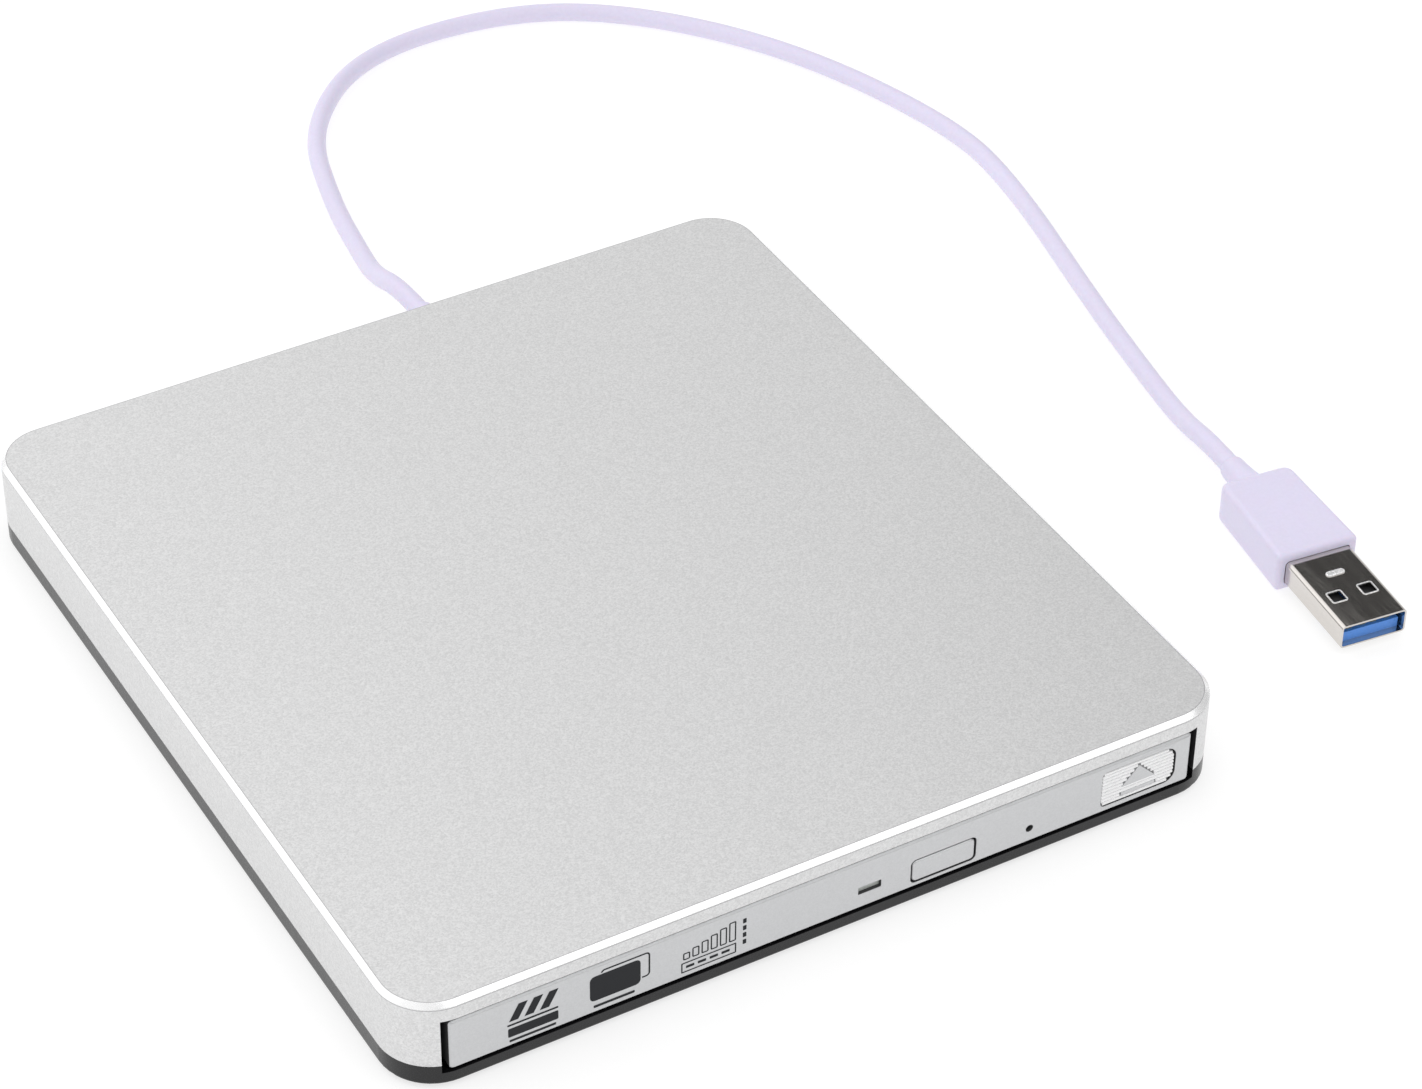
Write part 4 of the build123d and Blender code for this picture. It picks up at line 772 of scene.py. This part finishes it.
def mould_ring(z, inset):
    """The overmould's outline at height z, smaller by inset all round."""
    back_half, front_half = MOULD_BACK_W / 2 - inset, MOULD_FRONT_W / 2 - inset
    x0, x1 = MOULD[0] + inset, MOULD[1] - inset
    corners = [(x0, -back_half, 2.0), (x1, -front_half, 1.0), (x1, front_half, 1.0), (x0, back_half, 2.0)]
    points = []
    for k, (x, y, radius) in enumerate(corners):
        radius = max(radius - inset, 0.25)
        before, after = corners[k - 1], corners[(k + 1) % 4]
        here = Vector((x, y))
        a = (Vector(before[:2]) - here).normalized()
        b = (Vector(after[:2]) - here).normalized()
        for step in range(9):
            t = step / 8
            start, end = here + a * radius, here + b * radius
            point = start * (1 - t)**2 + here * 2 * t * (1 - t) + end * t**2
            points.append((point.x, point.y, z))
    return points


lower = []
for k in range(7):
    angle = math.radians(15 * k)
    lower.append(mould_ring(MOULD_ROUND * (1 - math.cos(angle)), MOULD_ROUND * (1 - math.sin(angle))))
upper = [[(x, y, MOULD_H - z) for x, y, z in ring] for ring in reversed(lower)]
mould = loft("plug_moulding", lower + upper)
join(mould, turned("t", [(5.6, 0.5), (5.6, 2.75), (6.6, 3.0), (7.6, 3.2), (8.5, 3.2)]))
socket = rounded(SHELL_W + 0.16, SHELL_H + 0.16, SHELL_R, 5, (0, PLUG_Z))
cut(mould, prism("t", socket, (SHELL[0], MOULD[1] + 1), across_plug))
finish_piece(mould, "root", "plug_white", replaces=["plug_overmould"], frame_matrix=plug_matrix, sharp=50)
collar = turned("plug_collar", [
    (0.0, 1.80), (0.0, 2.05), (0.15, 2.16), (0.6, 2.22), (2.0, 2.3), (4.0, 2.48), (5.2, 2.66), (6.6, 2.9),
    (7.2, 2.9),
])
finish_piece(collar, "root", "plug_white", frame_matrix=plug_matrix, sharp=50)



def window_tool(side, z):
    return prism("t", rounded(WINDOW, WINDOW, 0.25, 3, (WINDOW_X, side * WINDOW_Y)), z)


def nickel_piece(piece, finish):
    return finish_piece(piece, "root", "plug_nickel", [look[finish]], frame_matrix=plug_matrix)


shell = prism("plug_shell_tube", rounded(SHELL_W, SHELL_H, SHELL_R, 6, (0, PLUG_Z)), SHELL, across_plug)
bore_outline = rounded(SHELL_W - 2 * SHELL_T, SHELL_H - 2 * SHELL_T, SHELL_R - SHELL_T, 6, (0, PLUG_Z))
tools = [prism("t", bore_outline, (SHELL[0] - 1, SHELL[1] + 1), across_plug)]
for side, _ in SIDES:
    tools.append(window_tool(side, (PLUG_Z - 4, PLUG_Z + 4)))
cut(shell, *tools)
soften(shell, 0.07, 2, 30)
finish_piece(shell, "root", "plug_nickel", replaces=["plug_shell"], frame_matrix=plug_matrix)
# the boss and the rims round the windows take the near-white: painted highlights on the nickel shell
boss = prism("plug_shell_boss", rounded(1.2, 3.4, 0.58, 6, (BOSS_X, 0)), (SHELL_TOP - 0.1, SHELL_TOP + 0.24))
soften(boss, 0.16, 3)
nickel_piece(boss, "cut_edge_highlight")
for side, word in SIDES:
    outline = rounded(WINDOW + 0.5, WINDOW + 0.5, 0.45, 4, (WINDOW_X, side * WINDOW_Y))
    rim = prism("plug_shell_rim_" + word, outline, (SHELL_TOP - 0.1, SHELL_TOP + 0.06))
    cut(rim, window_tool(side, (PLUG_Z, PLUG_Z + 4)))
    nickel_piece(rim, "cut_edge_highlight")
# the leaves under the windows, near-black: painted shade inside the windows
LEAF_X = (SHELL[1] - 9.4, SHELL[1] - 5.0)
LEAF_Z = (SHELL_TOP - 1.5, SHELL_TOP - 1.25)
for side, word in SIDES:
    leaf_y = sorted((side * 1.2, side * (SHELL_W / 2 - SHELL_T + 0.05)))
    spring = box("plug_shell_spring_" + word, LEAF_X, leaf_y, LEAF_Z)
    soften(spring, 0.08, 2)
    nickel_piece(spring, "gap_shade_black")
seam_x, seam_z = (MOULD[1] + 0.05, SHELL[1] - 0.2), (SHELL_LOW - 0.005, SHELL_LOW + 0.1)
seam = box("plug_shell_seam", seam_x, (-0.06, 0.06), seam_z)
nickel_piece(seam, "black_plastic")

# ------------------------------------------------------------------ carried CAD nodes
covered = {"usb_cord", "top_cover", "tray_bezel", "eject_button", "eject_pad", "plug_overmould", "plug_shell"}
slot_of = {row["node"]: row["material_slot"] for row in frame["record"]["subparts"]}
for name, obj in nodes.items():
    if name in covered:
        continue
    obj.data.materials.clear()
    obj.data.materials.append(look[slot_of[name]])
    mod = obj.modifiers.new("merge", "DECIMATE")
    mod.decimate_type = "DISSOLVE"
    mod.angle_limit = math.radians(0.3)
    mod = obj.modifiers.new("soften", "BEVEL")
    mod.limit_method = "ANGLE"
    mod.angle_limit = math.radians(35)
    mod.width = 0.00008
    mod.segments = 2
    mod.use_clamp_overlap = True

# ------------------------------------------------------------------ stage and light


def square(name, half):
    """A level square that reaches half from its middle, in metres."""
    corners = ((-1, -1), (1, -1), (1, 1), (-1, 1))
    return build(name, [(x * half, y * half, 0) for x, y in corners], [(0, 1, 2, 3)])


floor_mat = material(
    "studio_floor", (0.35, 0.35, 0.35), 0.9, Emission_Color=(1, 1, 1, 1), Emission_Strength=0.70,
)[0]
floor = square("studio_floor", 6)
floor.location.z = -0.0001
floor.data.materials.append(floor_mat)

world = bpy.data.worlds.new("studio")
scene.world = world
world.use_nodes = True
sky = world.node_tree
heading = sky.nodes.new("ShaderNodeTexCoord")
axes = sky.nodes.new("ShaderNodeSeparateXYZ")
sky.links.new(heading.outputs["Generated"], axes.inputs["Vector"])
# brightest at the back left, and dimmer towards the horizon
towards = math_node(sky, "SUBTRACT", axes.outputs["Y"], axes.outputs["X"])
side_tone = spread(sky, towards, -1.1, 1.1, 0.50, 1.10)
horizon_tone = spread(sky, axes.outputs["Z"], 0.0, 0.45, 0.62, 1.0)
sky.links.new(math_node(sky, "MULTIPLY", side_tone, horizon_tone), sky.nodes["Background"].inputs["Strength"])
sky.nodes["Background"].inputs["Color"].default_value = (1.0, 1.0, 1.0, 1)


def area_light(name, at, size, power):
    """A square light that faces the origin."""
    lamp = bpy.data.lights.new(name, "AREA")
    lamp.energy = power
    lamp.size = size
    obj = bpy.data.objects.new(name, lamp)
    scene.collection.objects.link(obj)
    obj.location = at
    obj.rotation_euler = Vector(at).to_track_quat("Z", "Y").to_euler()


area_light("key", (-0.40, 0.50, 0.80), size=1.6, power=2.2)
area_light("front", (0.40, -0.62, 1.00), size=1.1, power=3.6)
area_light("fill", (-0.9, -1.1, 0.9), size=1.2, power=0.6)
# a dark card that only the plug's polished shell mirrors
CARD_AT = (0.476, 0.369, 0.445)
CARD_AIM = (0.11, -0.05, 0.006)
card = square("dark_card", 0.075)
card.location = CARD_AT
card.rotation_euler = (Vector(CARD_AT) - Vector(CARD_AIM)).to_track_quat("Z", "Y").to_euler()
card.data.materials.append(material("dark_card", (0.04, 0.04, 0.04), 0.9)[0])
card.visible_camera = False
card.visible_shadow = False
scene.view_settings.view_transform = "Standard"
